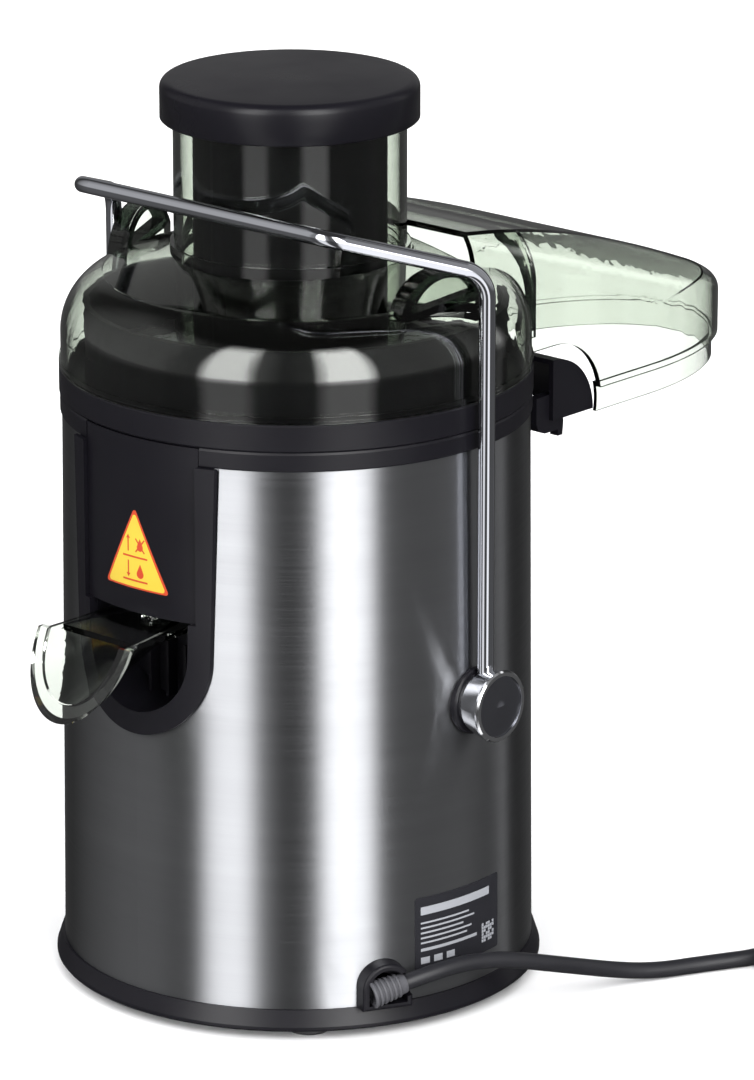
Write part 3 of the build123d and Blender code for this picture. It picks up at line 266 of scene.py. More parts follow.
def make_finishes(colours):
    """All materials, by the name of the finish."""
    black, steel = list(colours.black), list(colours.steel)
    return {
        "black": moulded_plastic("Black moulded ABS", black),
        "cap": moulded_plastic("Black polished ABS", black, rough=0.3, grain=0.9 * MM, depth=0.01),
        "steel": brushed_stainless("Brushed stainless steel", steel),
        "lid": clear_san("Smoky clear SAN", list(colours.lid_tint)),
        # painted shade: the same clear plastic tinted near black, standing in for the dark look of the lid's
        # thick edges seen edge on
        "painted_edge_shade": clear_san("Clear SAN darkened as painted edge shade", linear("#2b332c"), rough=0.05),
        "chrome": bare_metal("Chrome plating", linear("#dcdde0"), 0.06),
        "wire": bare_metal("Polished spring steel wire", linear("#c9cbd2"), 0.05),
        "knob_face": bare_metal("Satin dark nickel", linear("#7c7d84"), 0.34),
        "rubber": soft_rubber("Black rubber", linear("#1d1d1f")),
        "grey_rubber": soft_rubber("Grey flexible PVC", linear("#3d3d41"), rough=0.55),
        "cord": soft_rubber("Black PVC cord sheath", linear("#141418"), rough=0.4, grain=0.6 * MM),
        "plug": moulded_plastic("Black moulded PVC", linear("#1e1e22"), rough=0.45, grain=0.7 * MM),
        "nickel": bare_metal("Nickelled brass", linear("#c9c2ac"), 0.2),
        "label": printed_film("Printed dark foil", linear("#212125"), rough=0.3),
        "label_ink": printed_film("Pale print", linear("#8d8f94")),
        "yellow": printed_film("Yellow film", list(colours.sticker_ground)),
        "red": printed_film("Orange-red ink", list(colours.sticker_border)),
        "mesh": perforated_sheet("Perforated stainless sheet", linear("#b4b5b8")),
        "plate": bare_metal("Zinc-plated steel", linear("#a9abb0"), 0.35),
        "shaft": bare_metal("Ground steel", linear("#b0b1b4"), 0.18),
        "iron": layered("Varnished laminations", linear("#4a4b50"), linear("#2c2c30"), 1.0 * MM, 0.8, 0.45),
        "copper": layered("Enamelled copper wire", linear("#b5602a"), linear("#6e3315"), 0.8 * MM, 0.9, 0.3),
        "carbon": soft_rubber("Carbon graphite", linear("#18181a"), rough=0.7),
        "nylon": moulded_plastic("Grey glass-filled nylon", linear("#6a6b6e"), rough=0.5, grain=0.4 * MM),
        "board": moulded_plastic("Green glass-epoxy board", linear("#2c5a37"), rough=0.35),
    }


NODE_FINISH = {
    "feet": "rubber", "base_pan": "black", "base_screws": "plate", "cord_gland": "black",
    "strain_relief": "grey_rubber", "power_cord": "cord", "cord_coil": "cord", "coil_tie": "rubber",
    "cord_tail": "cord", "plug": "plug", "plug_pins": "nickel", "steel_sleeve": "steel",
    "rating_label": "label", "upper_housing": "black", "panel_frame": "black", "spout_panel": "black",
    "control_sticker": "yellow", "spout_niche": "black", "juice_bowl": "black",
    "pulp_deflector": "black", "spout": "lid", "valve_seal": "rubber", "lid": "lid",
    "pusher_body": "black", "pusher_cap": "cap", "bail_arm": "wire", "pivot_pins": "shaft",
    "pivot_bushes": "black", "pivot_knobs": "chrome", "knob_faces": "knob_face",
    "interlock_switch": "nylon", "filter_basket": "mesh", "basket_rim": "black", "basket_hub": "nylon",
    "grater_disc": "plate", "drive_coupler": "nylon", "motor_shaft": "shaft", "rotor_core": "iron",
    "rotor_windings": "copper", "commutator": "copper", "cooling_fan": "black", "stator_core": "iron",
    "field_coils": "copper", "lower_bracket": "plate", "upper_bracket": "plate", "bearings": "shaft",
    "motor_dampers": "rubber", "motor_screws": "plate", "brush_plate": "nylon",
    "carbon_brushes": "carbon", "dial_bezel": "black", "control_dial": "cap", "dial_spindle": "shaft",
    "rotary_switch": "nylon", "circuit_board": "board",
}

finishes = {}


# ---------------------------------------------------------------- mesh building


def finished_piece(name, mesh, body, finish, stands_for=()):
    """Links a mesh as a piece that rides on a body, with its finish and the CAD nodes it stands for."""
    piece = bpy.data.objects.new(name, mesh)
    bpy.context.scene.collection.objects.link(piece)
    if finish:
        mesh.materials.clear()
        mesh.materials.append(finishes[finish])
    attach(piece, body)
    if stands_for:
        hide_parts(*stands_for)
    return piece


def mesh_from(name, points, faces, sharp=40):
    """Mesh in metres from points and faces: normals outwards, edges past the sharp angle in degrees kept."""
    build = bmesh.new()
    made = [build.verts.new(p) for p in points]
    for face in faces:
        build.faces.new([made[i] for i in face])
    bmesh.ops.remove_doubles(build, verts=build.verts, dist=1e-6)
    bmesh.ops.recalc_face_normals(build, faces=build.faces)
    mesh = bpy.data.meshes.new(name)
    build.to_mesh(mesh)
    build.free()
    mesh.shade_smooth()
    mesh.set_sharp_from_angle(angle=radians(sharp))
    return mesh


def faces_between(rings, count, closed=True):
    """Four-sided faces between rings of count points. closed joins the last ring to the first."""
    faces = []
    for i in range(rings if closed else rings - 1):
        j = (i + 1) % rings
        for k in range(count):
            m = (k + 1) % count
            faces.append((i * count + k, i * count + m, j * count + m, j * count + k))
    return faces


def turned(outline, start, direction, steps=96):
    """Points and faces of a body turned about a line, from closed (radius, distance along the line) pairs."""
    axis = Vector(direction).normalized()
    side = axis.orthogonal().normalized()
    other = axis.cross(side)
    points = []
    for i in range(steps):
        a = 2 * pi * i / steps
        out = side * cos(a) + other * sin(a)
        points += [Vector(start) + out * r + axis * h for r, h in outline]
    return points, faces_between(steps, len(outline))


# ---------------------------------------------------------------- cord

# centre line in millimetres: from the strain relief to the coil, and from the coil to the plug
CORD_ROUTE = [
    (37.82, 88.24, 21.2), (26.8, 93.3, 23.6), (14.6, 96.9, 24.4), (2.2, 100.6, 23.4), (-9.4, 104.6, 20.8),
    (-20.4, 108.0, 17.4), (-31.4, 110.2, 13.8), (-42.4, 112.2, 10.2), (-53.0, 115.2, 7.0),
    (-63.2, 119.4, 4.6), (-73.4, 124.4, 3.5), (-84.0, 129.2, 3.3), (-96.0, 135.6, 3.3), (-109.0, 142.8, 3.3),
]
CORD_TAIL = [
    (-170.6, 168.6, 9.6), (-175.6, 174.2, 8.4), (-181.2, 180.2, 6.4), (-187.0, 186.2, 4.8),
    (-192.0, 192.4, 4.4), (-196.0, 199.0, 4.4),
]
COIL_CENTRE = (-131.0, 182.0)
COIL_START, COIL_TURNS, POINTS_PER_TURN = -80.0, 4, 16
SLOTS = [(39.8, 3.35), (32.9, 3.35), (32.9, 10.0), (39.8, 10.0)]  # radius and height of each turn


def coil_points():
    """Turns wound clockwise, two on the floor and two on top of them. Each one changes place in its round."""
    points = []
    change_at = [0.76, 0.52, 0.28]  # share of a turn after which it moves to the next turn's place
    change_over = 0.24  # share of a turn that the move takes
    total = COIL_TURNS * POINTS_PER_TURN + 4
    for i in range(total):
        turn, share = divmod(i / POINTS_PER_TURN, 1)
        turn = int(turn)
        slot = min(turn, 3)
        radius, height = SLOTS[slot]
        if slot < 3 and share > change_at[slot]:
            after = SLOTS[slot + 1]
            t = min((share - change_at[slot]) / change_over, 1)
            radius, height = radius + (after[0] - radius) * t, height + (after[1] - height) * t
        a = radians(COIL_START - 360 * i / POINTS_PER_TURN)
        points.append((COIL_CENTRE[0] + radius * cos(a), COIL_CENTRE[1] + radius * sin(a), height))
    return points


class JUICER_OT_cord(bpy.types.Operator):
    """Mains cord from the strain relief through the coil to the plug"""

    bl_idname = "juicer.cord"
    bl_label = "Cord"

    def execute(self, context):
        sizes = context.scene.juicer_sizes
        route = CORD_ROUTE + coil_points() + CORD_TAIL
        curve = bpy.data.curves.new("mains_cord", "CURVE")
        curve.dimensions = "3D"
        curve.bevel_depth = sizes.cord_diameter / 2
        curve.bevel_resolution = 5
        curve.resolution_u = 6
        curve.use_fill_caps = True
        spline = curve.splines.new("NURBS")
        spline.points.add(len(route) - 1)
        for point, place in zip(spline.points, route):
            point.co = (*(c * MM for c in place), 1.0)
        spline.order_u = 3
        spline.use_endpoint_u = True
        curve.materials.append(finishes["cord"])
        cord = bpy.data.objects.new("mains_cord", curve)
        context.scene.collection.objects.link(cord)
        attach(cord, "machine")
        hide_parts("power_cord", "cord_coil", "cord_tail")
        return {"FINISHED"}


# ---------------------------------------------------------------- geometry node trees


def geometry_tree(name, inputs):
    """An empty geometry tree with named inputs, given as (name, socket type, default)."""
    tree = bpy.data.node_groups.new(name, "GeometryNodeTree")
    for label, kind, default in inputs:
        tree.interface.new_socket(label, in_out="INPUT", socket_type=kind).default_value = default
    tree.interface.new_socket("Geometry", in_out="OUTPUT", socket_type="NodeSocketGeometry")
    return tree, tree.nodes.new("NodeGroupInput").outputs


def close_tree(tree, geometry, finish):
    """Ends a tree in Realize Instances and Set Material."""
    real = add_node(tree, "GeometryNodeRealizeInstances", {"Geometry": geometry})
    painted = add_node(tree, "GeometryNodeSetMaterial", {
        "Geometry": real.outputs[0], "Material": finishes[finish]})
    smooth = add_node(tree, "GeometryNodeSetShadeSmooth", {"Geometry": painted.outputs[0]})
    add_node(tree, "NodeGroupOutput", {0: smooth.outputs[0]})
    return tree


def mesh_from_tree(name, tree, values=None, sharp=35):
    """Runs a tree once on an empty mesh and returns its result as a plain mesh."""
    holder = bpy.data.objects.new(name + "_tree", bpy.data.meshes.new(name + "_seed"))
    bpy.context.scene.collection.objects.link(holder)
    modifier = holder.modifiers.new("tree", "NODES")
    modifier.node_group = tree
    for item in tree.interface.items_tree:
        if item.in_out == "INPUT" and item.name in (values or {}):
            modifier[item.identifier] = values[item.name]
    graph = bpy.context.evaluated_depsgraph_get()
    mesh = bpy.data.meshes.new_from_object(holder.evaluated_get(graph))
    holder.modifiers.clear()
    bpy.data.objects.remove(holder)
    mesh.name = name
    mesh.set_sharp_from_angle(angle=radians(sharp))
    return mesh


def join_geometry(tree, parts):
    joined = add_node(tree, "GeometryNodeJoinGeometry")
    for part in parts:
        tree.links.new(part, joined.inputs[0])
    return joined.outputs[0]


# ---------------------------------------------------------------- strain relief and coil tie

RELIEF_TIP = Vector(CORD_ROUTE[0]) * MM
RELIEF_WAY = (Vector(CORD_ROUTE[1]) * MM - RELIEF_TIP).normalized()
RELIEF_LENGTH = 13.5 * MM  # the nose outside the wall


class JUICER_OT_strain_relief(bpy.types.Operator):
    """Ribbed, tapered rubber sleeve where the cord leaves the gland"""

    bl_idname = "juicer.strain_relief"
    bl_label = "Strain relief"

    def execute(self, context):
        start = RELIEF_TIP - RELIEF_WAY * RELIEF_LENGTH
        bore, root, tip, chamfer = 3.25 * MM, 4.7 * MM, 3.9 * MM, 0.6 * MM
        core = [(bore, 0.0), (root, 0.0), (tip, RELIEF_LENGTH - chamfer), (tip - chamfer / 2, RELIEF_LENGTH),
                (bore, RELIEF_LENGTH)]
        points, faces = turned(core, start, RELIEF_WAY, 48)
        core_mesh = mesh_from("relief_core", points, faces)
        finished_piece("relief_core", core_mesh, "machine", "grey_rubber", ["strain_relief"])

        tree, given = geometry_tree("relief_ribs", [
            ("Ribs", "NodeSocketInt", 6), ("Radius", "NodeSocketFloat", 4.75 * MM),
            ("Thickness", "NodeSocketFloat", 0.75 * MM), ("Pitch", "NodeSocketFloat", 2.0 * MM),
            ("Taper", "NodeSocketFloat", 0.03), ("Start", "NodeSocketVector", tuple(start)),
            ("Direction", "NodeSocketVector", tuple(RELIEF_WAY)),
        ])
        step = add_node(tree, "ShaderNodeVectorMath", {0: given["Direction"], "Scale": given["Pitch"]},
                        operation="SCALE")
        row = add_node(tree, "GeometryNodeMeshLine", {
            "Count": given["Ribs"], "Start Location": given["Start"], "Offset": step.outputs[0]},
            mode="OFFSET")
        ring = add_node(tree, "GeometryNodeCurvePrimitiveCircle", {
            "Resolution": 40, "Radius": given["Radius"]})
        section = add_node(tree, "GeometryNodeCurvePrimitiveCircle", {
            "Resolution": 10, "Radius": given["Thickness"]})
        rib = add_node(tree, "GeometryNodeCurveToMesh", {
            "Curve": ring.outputs[0], "Profile Curve": section.outputs[0]})
        turn = add_node(tree, "FunctionNodeAlignRotationToVector", {"Vector": given["Direction"]}, axis="Z")
        index = add_node(tree, "GeometryNodeInputIndex")
        shrink = calculated(tree, "MULTIPLY", index.outputs[0], given["Taper"])
        size = calculated(tree, "SUBTRACT", 1.0, shrink)
        ribs = add_node(tree, "GeometryNodeInstanceOnPoints", {
            "Points": row.outputs[0], "Instance": rib.outputs[0], "Rotation": turn.outputs[0],
            "Scale": size})
        close_tree(tree, ribs.outputs[0], "grey_rubber")
        mesh = mesh_from_tree("relief_ribs", tree, {"Ribs": context.scene.juicer_sizes.rib_count}, sharp=80)
        finished_piece("relief_ribs", mesh, "machine", None)
        return {"FINISHED"}


class JUICER_OT_coil_tie(bpy.types.Operator):
    """Band that holds the turns of the coil together"""

    bl_idname = "juicer.coil_tie"
    bl_label = "Coil tie"

    def execute(self, context):
        low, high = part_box("coil_tie")
        centre = (low + high) / 2
        half_x, half_z = (high.x - low.x) / 2, (high.z - low.z) / 2
        steps, points = 48, []
        half_width, thickness, clearance, chamfer = 5.0, 0.7, 0.1, 0.4
        # six corners of the band's section, as (place along the cord, depth under the outer face)
        section = ((-half_width, thickness / 2), (chamfer - half_width, 0.0), (half_width - chamfer, 0.0),
                   (half_width, thickness / 2), (half_width - chamfer, thickness),
                   (chamfer - half_width, thickness))
        for offset, inset in section:
            reach_x, reach_z = half_x - (clearance + inset) * MM, half_z - (clearance + inset) * MM
            for i in range(steps):
                a = 2 * pi * i / steps
                # rounded square, a power curve of order four
                c, d = cos(a), sin(a)
                reach = (c**4 + d**4) ** -0.25
                points.append((centre.x + reach_x * c * reach, centre.y + offset * MM,
                               centre.z + reach_z * d * reach))
        mesh = mesh_from("cord_tie", points, faces_between(len(section), steps))
        finished_piece("cord_tie", mesh, "machine", "rubber", ["coil_tie"])
        return {"FINISHED"}


# ---------------------------------------------------------------- sticker and rating label


SLICE = 1.5  # width in millimetres of the flat strips that a wrapped film is cut in


def wrapped(outline, radius, thickness=0.06 * MM, centre_angle=0.0):
    """Mesh of a thin film that follows a drum. outline is (along the drum, height) pairs in millimetres."""
    build = bmesh.new()
    corners = [build.verts.new((u * MM, 0, z * MM)) for u, z in outline]
    build.faces.new(corners)
    low = min(u for u, z in outline)
    high = max(u for u, z in outline)
    cut = low + SLICE
    while cut < high:
        bmesh.ops.bisect_plane(build, geom=build.verts[:] + build.edges[:] + build.faces[:],
                               plane_co=(cut * MM, 0, 0), plane_no=(1, 0, 0))
        cut += SLICE
    base = build.faces[:]
    raised = bmesh.ops.extrude_face_region(build, geom=base)["geom"]
    for item in raised:
        if isinstance(item, bmesh.types.BMVert):
            item.co.y = thickness
    for vert in build.verts:
        u, lift, z = vert.co
        r = (radius(z) if callable(radius) else radius) + lift
        a = radians(centre_angle) + u / r
        vert.co = (r * cos(a), r * sin(a), z)
    bmesh.ops.recalc_face_normals(build, faces=build.faces)
    mesh = bpy.data.meshes.new("film")
    build.to_mesh(mesh)
    build.free()
    return mesh


def rounded(corners, radius, steps=6):
    """Outline with its corners rounded, from corner points in order."""
    outline, count = [], len(corners)
    for i, corner in enumerate(corners):
        c = Vector((*corner, 0))
        a = (Vector((*corners[i - 1], 0)) - c).normalized()
        b = (Vector((*corners[(i + 1) % count], 0)) - c).normalized()
        half = a.angle(b) / 2
        reach = radius / (sin(half) / cos(half))
        middle = c + (a + b).normalized() * (radius / sin(half))
        first, last = c + a * reach - middle, c + b * reach - middle
        for k in range(steps + 1):
            p = middle + first.slerp(last, k / steps)
            outline.append((p.x, p.y))
    return outline


def arc_through(first, middle, last, steps):
    """Points along the arc through three points of a plane."""
    a, b, c = (Vector((*p, 0)) for p in (first, middle, last))
    ab, ac = b - a, c - a
    cross = ab.cross(ac)
    centre = a + (cross.cross(ab) * ac.length_squared + ac.cross(cross) * ab.length_squared) / (
        2 * cross.length_squared)
    start = a - centre
    total = start.angle(b - centre) + (b - centre).angle(c - centre)
    turn_way = 1 if cross.z > 0 else -1
    points = []
    for k in range(steps + 1):
        p = centre + Quaternion((0, 0, turn_way), total * k / steps) @ start
        points.append((p.x, p.y))
    return points


def drop_shape(u, z, size):
    """Drop of juice: a round belly under a point."""
    angles = [radians(20 - 220 * k / 14) for k in range(15)]
    belly = [(u + size * 0.5 * cos(a), z + size * 0.5 * sin(a)) for a in angles]
    return belly + [(u, z + size * 1.15)]


def arrow_shape(u, z, length, up):
    """Upright arrow of a given length from its middle."""
    half, head, stem = length / 2, 1.5, 0.3
    neck, side = half - head, 1 if up else -1
    shape = [(-stem, -half), (-stem, neck), (-1.0, neck), (0, half), (1.0, neck), (stem, neck),
             (stem, -half)]
    shape = [(u + a, z + side * b) for a, b in shape]
    return shape if up else shape[::-1]


def upright_bar(left, foot, width, height):
    """Corners of an upright rectangle."""
    return [(left, foot), (left + width, foot), (left + width, foot + height), (left, foot + height)]


def joined_mesh(name, meshes):
    """One mesh from several, which are removed."""
    build = bmesh.new()
    for mesh in meshes:
        build.from_mesh(mesh)
        bpy.data.meshes.remove(mesh)
    result = bpy.data.meshes.new(name)
    build.to_mesh(result)
    build.free()
    return result


class JUICER_OT_sticker(bpy.types.Operator):
    """Triangular sticker over the spout: raise to close, lower to pour"""

    bl_idname = "juicer.sticker"
    bl_label = "Spout sticker"

    def execute(self, context):
        panel_r, foot, tip, half_width, border = 89.5 * MM, 169.2, 205.4, 18.4, 1.5
        outer = rounded([(-half_width, foot), (half_width, foot), (0, tip)], 2.4)
        half_ground = half_width - 2.8
        inner = rounded([(-half_ground, foot + border), (half_ground, foot + border), (0, tip - 3.5)], 1.6)
        border_film = wrapped(outer, panel_r)
        finished_piece("sticker_border", border_film, "machine", "red", ["control_sticker"])
        finished_piece("sticker_ground", wrapped(inner, panel_r + 0.06 * MM), "machine", "yellow")
        # icons, as (along the drum, height, size): up to close over down to pour
        marks = [arrow_shape(-3.4, 188.0, 6.5, True), drop_shape(2.6, 187.0, 3.0),
                 arrow_shape(-3.4, 178.0, 6.5, False), drop_shape(2.6, 176.6, 3.4)]
        # a cross over the upper drop
        bar = upright_bar(-0.3, -3.4, 0.6, 6.8)
        for tilt in (radians(40), radians(-40)):
            marks.append([(2.6 + a * cos(tilt) - b * sin(tilt), 187.6 + a * sin(tilt) + b * cos(tilt))
                          for a, b in bar])
        # a bar under each pair, where a legend would stand
        marks += [upright_bar(-6.2, z, 12.4, 0.7) for z in (182.6, 173.4)]
        icons = joined_mesh("sticker_icons", [wrapped(m, panel_r + 0.12 * MM, 0.05 * MM) for m in marks])
        finished_piece("sticker_icons", icons, "machine", "red")
        return {"FINISHED"}


class JUICER_OT_rating_label(bpy.types.Operator):
    """Dark rating label with plain bars in place of print"""

    bl_idname = "juicer.rating_label"
    bl_label = "Rating label"

    def execute(self, context):
        middle, foil = 85.1, 0.14 * MM
        foot, top, half_width = 21.2, 52.3, 22.6
        foot_r, top_r, foot_z, top_z = 90.8, 89.0, 12.0, 222.5  # the steel drum at its lower and upper edge

        def drum_r(z):
            share = (z / MM - foot_z) / (top_z - foot_z)
            return (foot_r + (top_r - foot_r) * share + 0.02) * MM

        plate = rounded([(-half_width, foot), (half_width, foot), (half_width, top), (-half_width, top)], 1.6)
        mesh = wrapped(plate, drum_r, foil, middle)
        finished_piece("label_foil", mesh, "machine", "label", ["rating_label"])
        left = -19.5
        # heading, five fine rows and a bolder one, as (height, right end, thickness)
        rows = [(44.6, 16.0, 3.2), (41.0, 4.0, 0.7), (39.0, 7.0, 0.7), (37.0, 1.0, 0.7), (35.0, 5.5, 0.7),
                (33.0, 3.0, 0.7), (30.0, 8.5, 1.2)]
        bars = [upright_bar(left, z, right - left, tall) for z, right, tall in rows]
        bars += [upright_bar(left + 6.0 * i, 25.0, 4.0, 2.6) for i in range(3)]
        # block of small squares in a fixed pattern
        for i in range(6):
            for j in range(6):
                if (i * 5 + j * 3 + i * j) % 3 != 1:
                    bars.append(upright_bar(11.5 + i * 1.3, 26.0 + j * 1.3, 1.1, 1.1))

        def print_r(z):
            return drum_r(z) + foil

        ink = joined_mesh("label_print", [wrapped(b, print_r, 0.04 * MM, middle) for b in bars])
        finished_piece("label_print", ink, "machine", "label_ink")
        return {"FINISHED"}


# ---------------------------------------------------------------- lid details

HOOD_HALF = 55.0


class JUICER_OT_lid_edges(bpy.types.Operator):
    """Thick moulded edges of the clear lid, the hood's arch rib and the rims of the ears, which look dark:
    tinted near black as painted shade for the dark look of clear plastic seen edge on
    """

    bl_idname = "juicer.lid_edges"
    bl_label = "Lid edges"

    def execute(self, context):
        # arch rib across the mouth of the hood, just inside its walls
        half, crown, corner, foot = HOOD_HALF - 2.6, 282.4, 24.0, 246.0
        outer_x, inner_x, thickness, middle_z = -77.0, -73.6, 2.4, 255.0
        path = [(half, foot)]
        for k in range(13):
            a = radians(90 * k / 12)
            path.append((half - corner + corner * cos(a), crown - corner + corner * sin(a)))
        path += [(-y, z) for y, z in reversed(path)]
        points = []
        for y, z in path:
            inward = Vector((-y, middle_z - z, 0)).normalized() * thickness
            for x, dy, dz in ((outer_x, 0, 0), (inner_x, 0, 0), (inner_x, inward.x, inward.y),
                              (outer_x, inward.x, inward.y)):
                points.append(Vector((x, y + dy, z + dz)) * MM)
        faces = faces_between(len(path), 4, closed=False)
        faces += [(0, 1, 2, 3), tuple(len(points) - 4 + k for k in (3, 2, 1, 0))]
        mesh = mesh_from("hood_rib", points, faces, 50)
        finished_piece("hood_rib", mesh, "machine", "painted_edge_shade")

        # rim of each ear: a D that reaches in past the recess, its lower bar thick
        front, rear = Vector((25.0, 74.4, 0)), Vector((-10.0, 84.0, 0))
        along = (front - rear).normalized()
        out = Vector((-along.y, along.x, 0))
        half = (front - rear).length / 2
        origin = (front + rear) / 2
        ear_foot_z, proud, recess = 273, 0.15, 5.4
        outer = arc_through((half, 0.4), (1, 17), (-half, 6), 20)
        inner = arc_through((half - 6, 3.0), (0, 14.2), (-half + 2.8, 7.6), 20)
        for k in range(1, 12):
            t = k / 12
            outer.append((-half + 2 * half * t, 4.4 - 5.0 * t))
            inner.append((-half + 2.8 + (2 * half - 8.8) * t, 7.6 - 4.6 * t))
        for side, name in ((1, "ear_rim_back"), (-1, "ear_rim_front")):
            points = []
            for (a, b), (c, d) in zip(outer, inner):
                for u, rise, depth in ((a, b, proud), (c, d, proud), (c, d, -recess), (a, b, -recess)):
                    p = origin + along * u + out * depth
                    points.append(Vector((p.x, side * p.y, ear_foot_z + rise)) * MM)
            mesh = mesh_from(name, points, faces_between(len(outer), 4), 50)
            finished_piece(name, mesh, "machine", "painted_edge_shade")
        return {"FINISHED"}


# ---------------------------------------------------------------- pusher cap


class JUICER_OT_pusher_cap(bpy.types.Operator):
    """Round cap of the pusher, gently crowned, with a soft shoulder"""

    bl_idname = "juicer.pusher_cap"
    bl_label = "Pusher cap"

    def execute(self, context):
        low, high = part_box("pusher_cap")
        centre = (low + high) / 2
        r, base = (high.x - low.x) / 2, low.z + 2.0 * MM
        top = high.z - base
        wall, edge, shoulder, crown = 3.0 * MM, 0.5 * MM, 3.6 * MM, 1.2 * MM
        outline = [(0.0, top - 4.0 * MM), (r - wall, top - 5.0 * MM), (r - wall, 0.0), (r - edge, 0.0),
                   (r, edge)]
        for k in range(9):
            a = radians(90 * k / 8)
            outline.append((r - shoulder + shoulder * cos(a), top - crown - shoulder + shoulder * sin(a)))
        flat = r - shoulder
        outline += [(flat * (1 - k / 10), top - crown * (1 - k / 10) ** 2) for k in range(1, 11)]
        points, faces = turned(outline, (centre.x, centre.y, base), (0, 0, 1), 128)
        mesh = mesh_from("pusher_crown", points, faces, 50)
        finished_piece("pusher_crown", mesh, "pusher", "cap", ["pusher_cap"])
        return {"FINISHED"}


# ---------------------------------------------------------------- grater disc and screws


class JUICER_OT_grater(bpy.types.Operator):
    """Grater disc with rings of punched teeth"""

    bl_idname = "juicer.grater"
    bl_label = "Grater disc"

    def execute(self, context):
        low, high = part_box("grater_disc")
        plate_r, sheet = (high.x - low.x) / 2, 1.0 * MM
        tree, given = geometry_tree("grater_teeth", [
            ("Plate radius", "NodeSocketFloat", plate_r), ("Plate thickness", "NodeSocketFloat", sheet),
            ("Tooth height", "NodeSocketFloat", high.z - low.z - sheet),
            ("Tooth radius", "NodeSocketFloat", 1.7 * MM),
        ])
        plate = add_node(tree, "GeometryNodeMeshCylinder", {
            "Vertices": 96, "Radius": given["Plate radius"], "Depth": given["Plate thickness"]})
        tooth = add_node(tree, "GeometryNodeMeshCone", {
            "Vertices": 5, "Radius Top": 0.15 * MM, "Radius Bottom": given["Tooth radius"],
            "Depth": given["Tooth height"]})
        half_plate = calculated(tree, "MULTIPLY", given["Plate thickness"], 0.5)
        lift = add_node(tree, "ShaderNodeCombineXYZ", {"Z": half_plate})
        parts = [plate.outputs[0]]
        # five rings, 6 mm apart, each with six teeth more than the last
        for ring_r, count in ((10 + 6 * k, 8 + 6 * k) for k in range(5)):
            ring = add_node(tree, "GeometryNodeMeshCircle", {"Vertices": count, "Radius": ring_r * MM})
            raised = add_node(tree, "GeometryNodeTransform", {
                "Geometry": ring.outputs[0], "Translation": lift.outputs[0]})
            teeth = add_node(tree, "GeometryNodeInstanceOnPoints", {
                "Points": raised.outputs[0], "Instance": tooth.outputs[0]})
            parts.append(teeth.outputs[0])
        joined = join_geometry(tree, parts)
        placed = add_node(tree, "GeometryNodeTransform", {
            "Geometry": joined, "Translation": (0, 0, low.z + sheet / 2)})
        close_tree(tree, placed.outputs[0], "plate")
        mesh = mesh_from_tree("grater_plate", tree)
        finished_piece("grater_plate", mesh, "spinner", None, ["grater_disc"])
        return {"FINISHED"}


class JUICER_OT_screws(bpy.types.Operator):
    """Four cross-recessed screws that close the base"""

    bl_idname = "juicer.screws"
    bl_label = "Base screws"

    def execute(self, context):
        low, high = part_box("base_screws")
        head_height = 3.4 * MM
        tree, given = geometry_tree("base_screw_set", [
            ("Head radius", "NodeSocketFloat", 3.2 * MM), ("Head height", "NodeSocketFloat", head_height),
            ("Shank radius", "NodeSocketFloat", 1.45 * MM),
            ("Shank length", "NodeSocketFloat", high.z - low.z - head_height),
            ("Ring radius", "NodeSocketFloat", 77.0 * MM), ("Slot width", "NodeSocketFloat", 0.9 * MM),
        ])
        head = add_node(tree, "GeometryNodeMeshCylinder", {
            "Vertices": 24, "Radius": given["Head radius"], "Depth": given["Head height"]})
        shank = add_node(tree, "GeometryNodeMeshCylinder", {
            "Vertices": 16, "Radius": given["Shank radius"], "Depth": given["Shank length"]})
        whole = calculated(tree, "ADD", given["Head height"], given["Shank length"])
        up = add_node(tree, "ShaderNodeCombineXYZ", {"Z": calculated(tree, "MULTIPLY", whole, 0.5)})
        shank_up = add_node(tree, "GeometryNodeTransform", {
            "Geometry": shank.outputs[0], "Translation": up.outputs[0]})
        # cross recess under the head
        long_side = calculated(tree, "MULTIPLY", given["Head radius"], 1.25)
        cutters = []
        for first, second in (("long", "short"), ("short", "long")):
            sides = {"long": long_side, "short": given["Slot width"]}
            size = add_node(tree, "ShaderNodeCombineXYZ", {
                "X": sides[first], "Y": sides[second], "Z": given["Head height"]})
            block = add_node(tree, "GeometryNodeMeshCube", {"Size": size.outputs[0]})
            cutters.append(add_node(tree, "GeometryNodeTransform", {
                "Geometry": block.outputs[0], "Translation": (0, 0, -1.9 * MM)}).outputs[0])
        cut = add_node(tree, "GeometryNodeMeshBoolean", {"Mesh 1": head.outputs[0]},
                       operation="DIFFERENCE", solver="EXACT")
        for cutter in cutters:
            tree.links.new(cutter, cut.inputs["Mesh 2"])
        screw = join_geometry(tree, [cut.outputs[0], shank_up.outputs[0]])
        ring = add_node(tree, "GeometryNodeMeshCircle", {"Vertices": 6, "Radius": given["Ring radius"]})
        turned_ring = add_node(tree, "GeometryNodeTransform", {
            "Geometry": ring.outputs[0], "Translation": (0, 0, low.z + head_height / 2),
            "Rotation": (0, 0, radians(30))})
        # of six places round the base, the ones straight to the back and the front stay empty
        index = add_node(tree, "GeometryNodeInputIndex")
        back, front = (add_node(tree, "FunctionNodeCompare", {2: index.outputs[0], 3: place},
                                data_type="INT", operation="EQUAL") for place in (1, 4))
        skipped = add_node(tree, "FunctionNodeBooleanMath", {
            0: back.outputs[0], 1: front.outputs[0]}, operation="OR")
        kept = add_node(tree, "FunctionNodeBooleanMath", {0: skipped.outputs[0]}, operation="NOT")
        screws = add_node(tree, "GeometryNodeInstanceOnPoints", {
            "Points": turned_ring.outputs[0], "Selection": kept.outputs[0], "Instance": screw})
        close_tree(tree, screws.outputs[0], "plate")
        mesh = mesh_from_tree("closing_screws", tree)
        finished_piece("closing_screws", mesh, "machine", None, ["base_screws"])
        return {"FINISHED"}


# ---------------------------------------------------------------- finishes of the CAD nodes


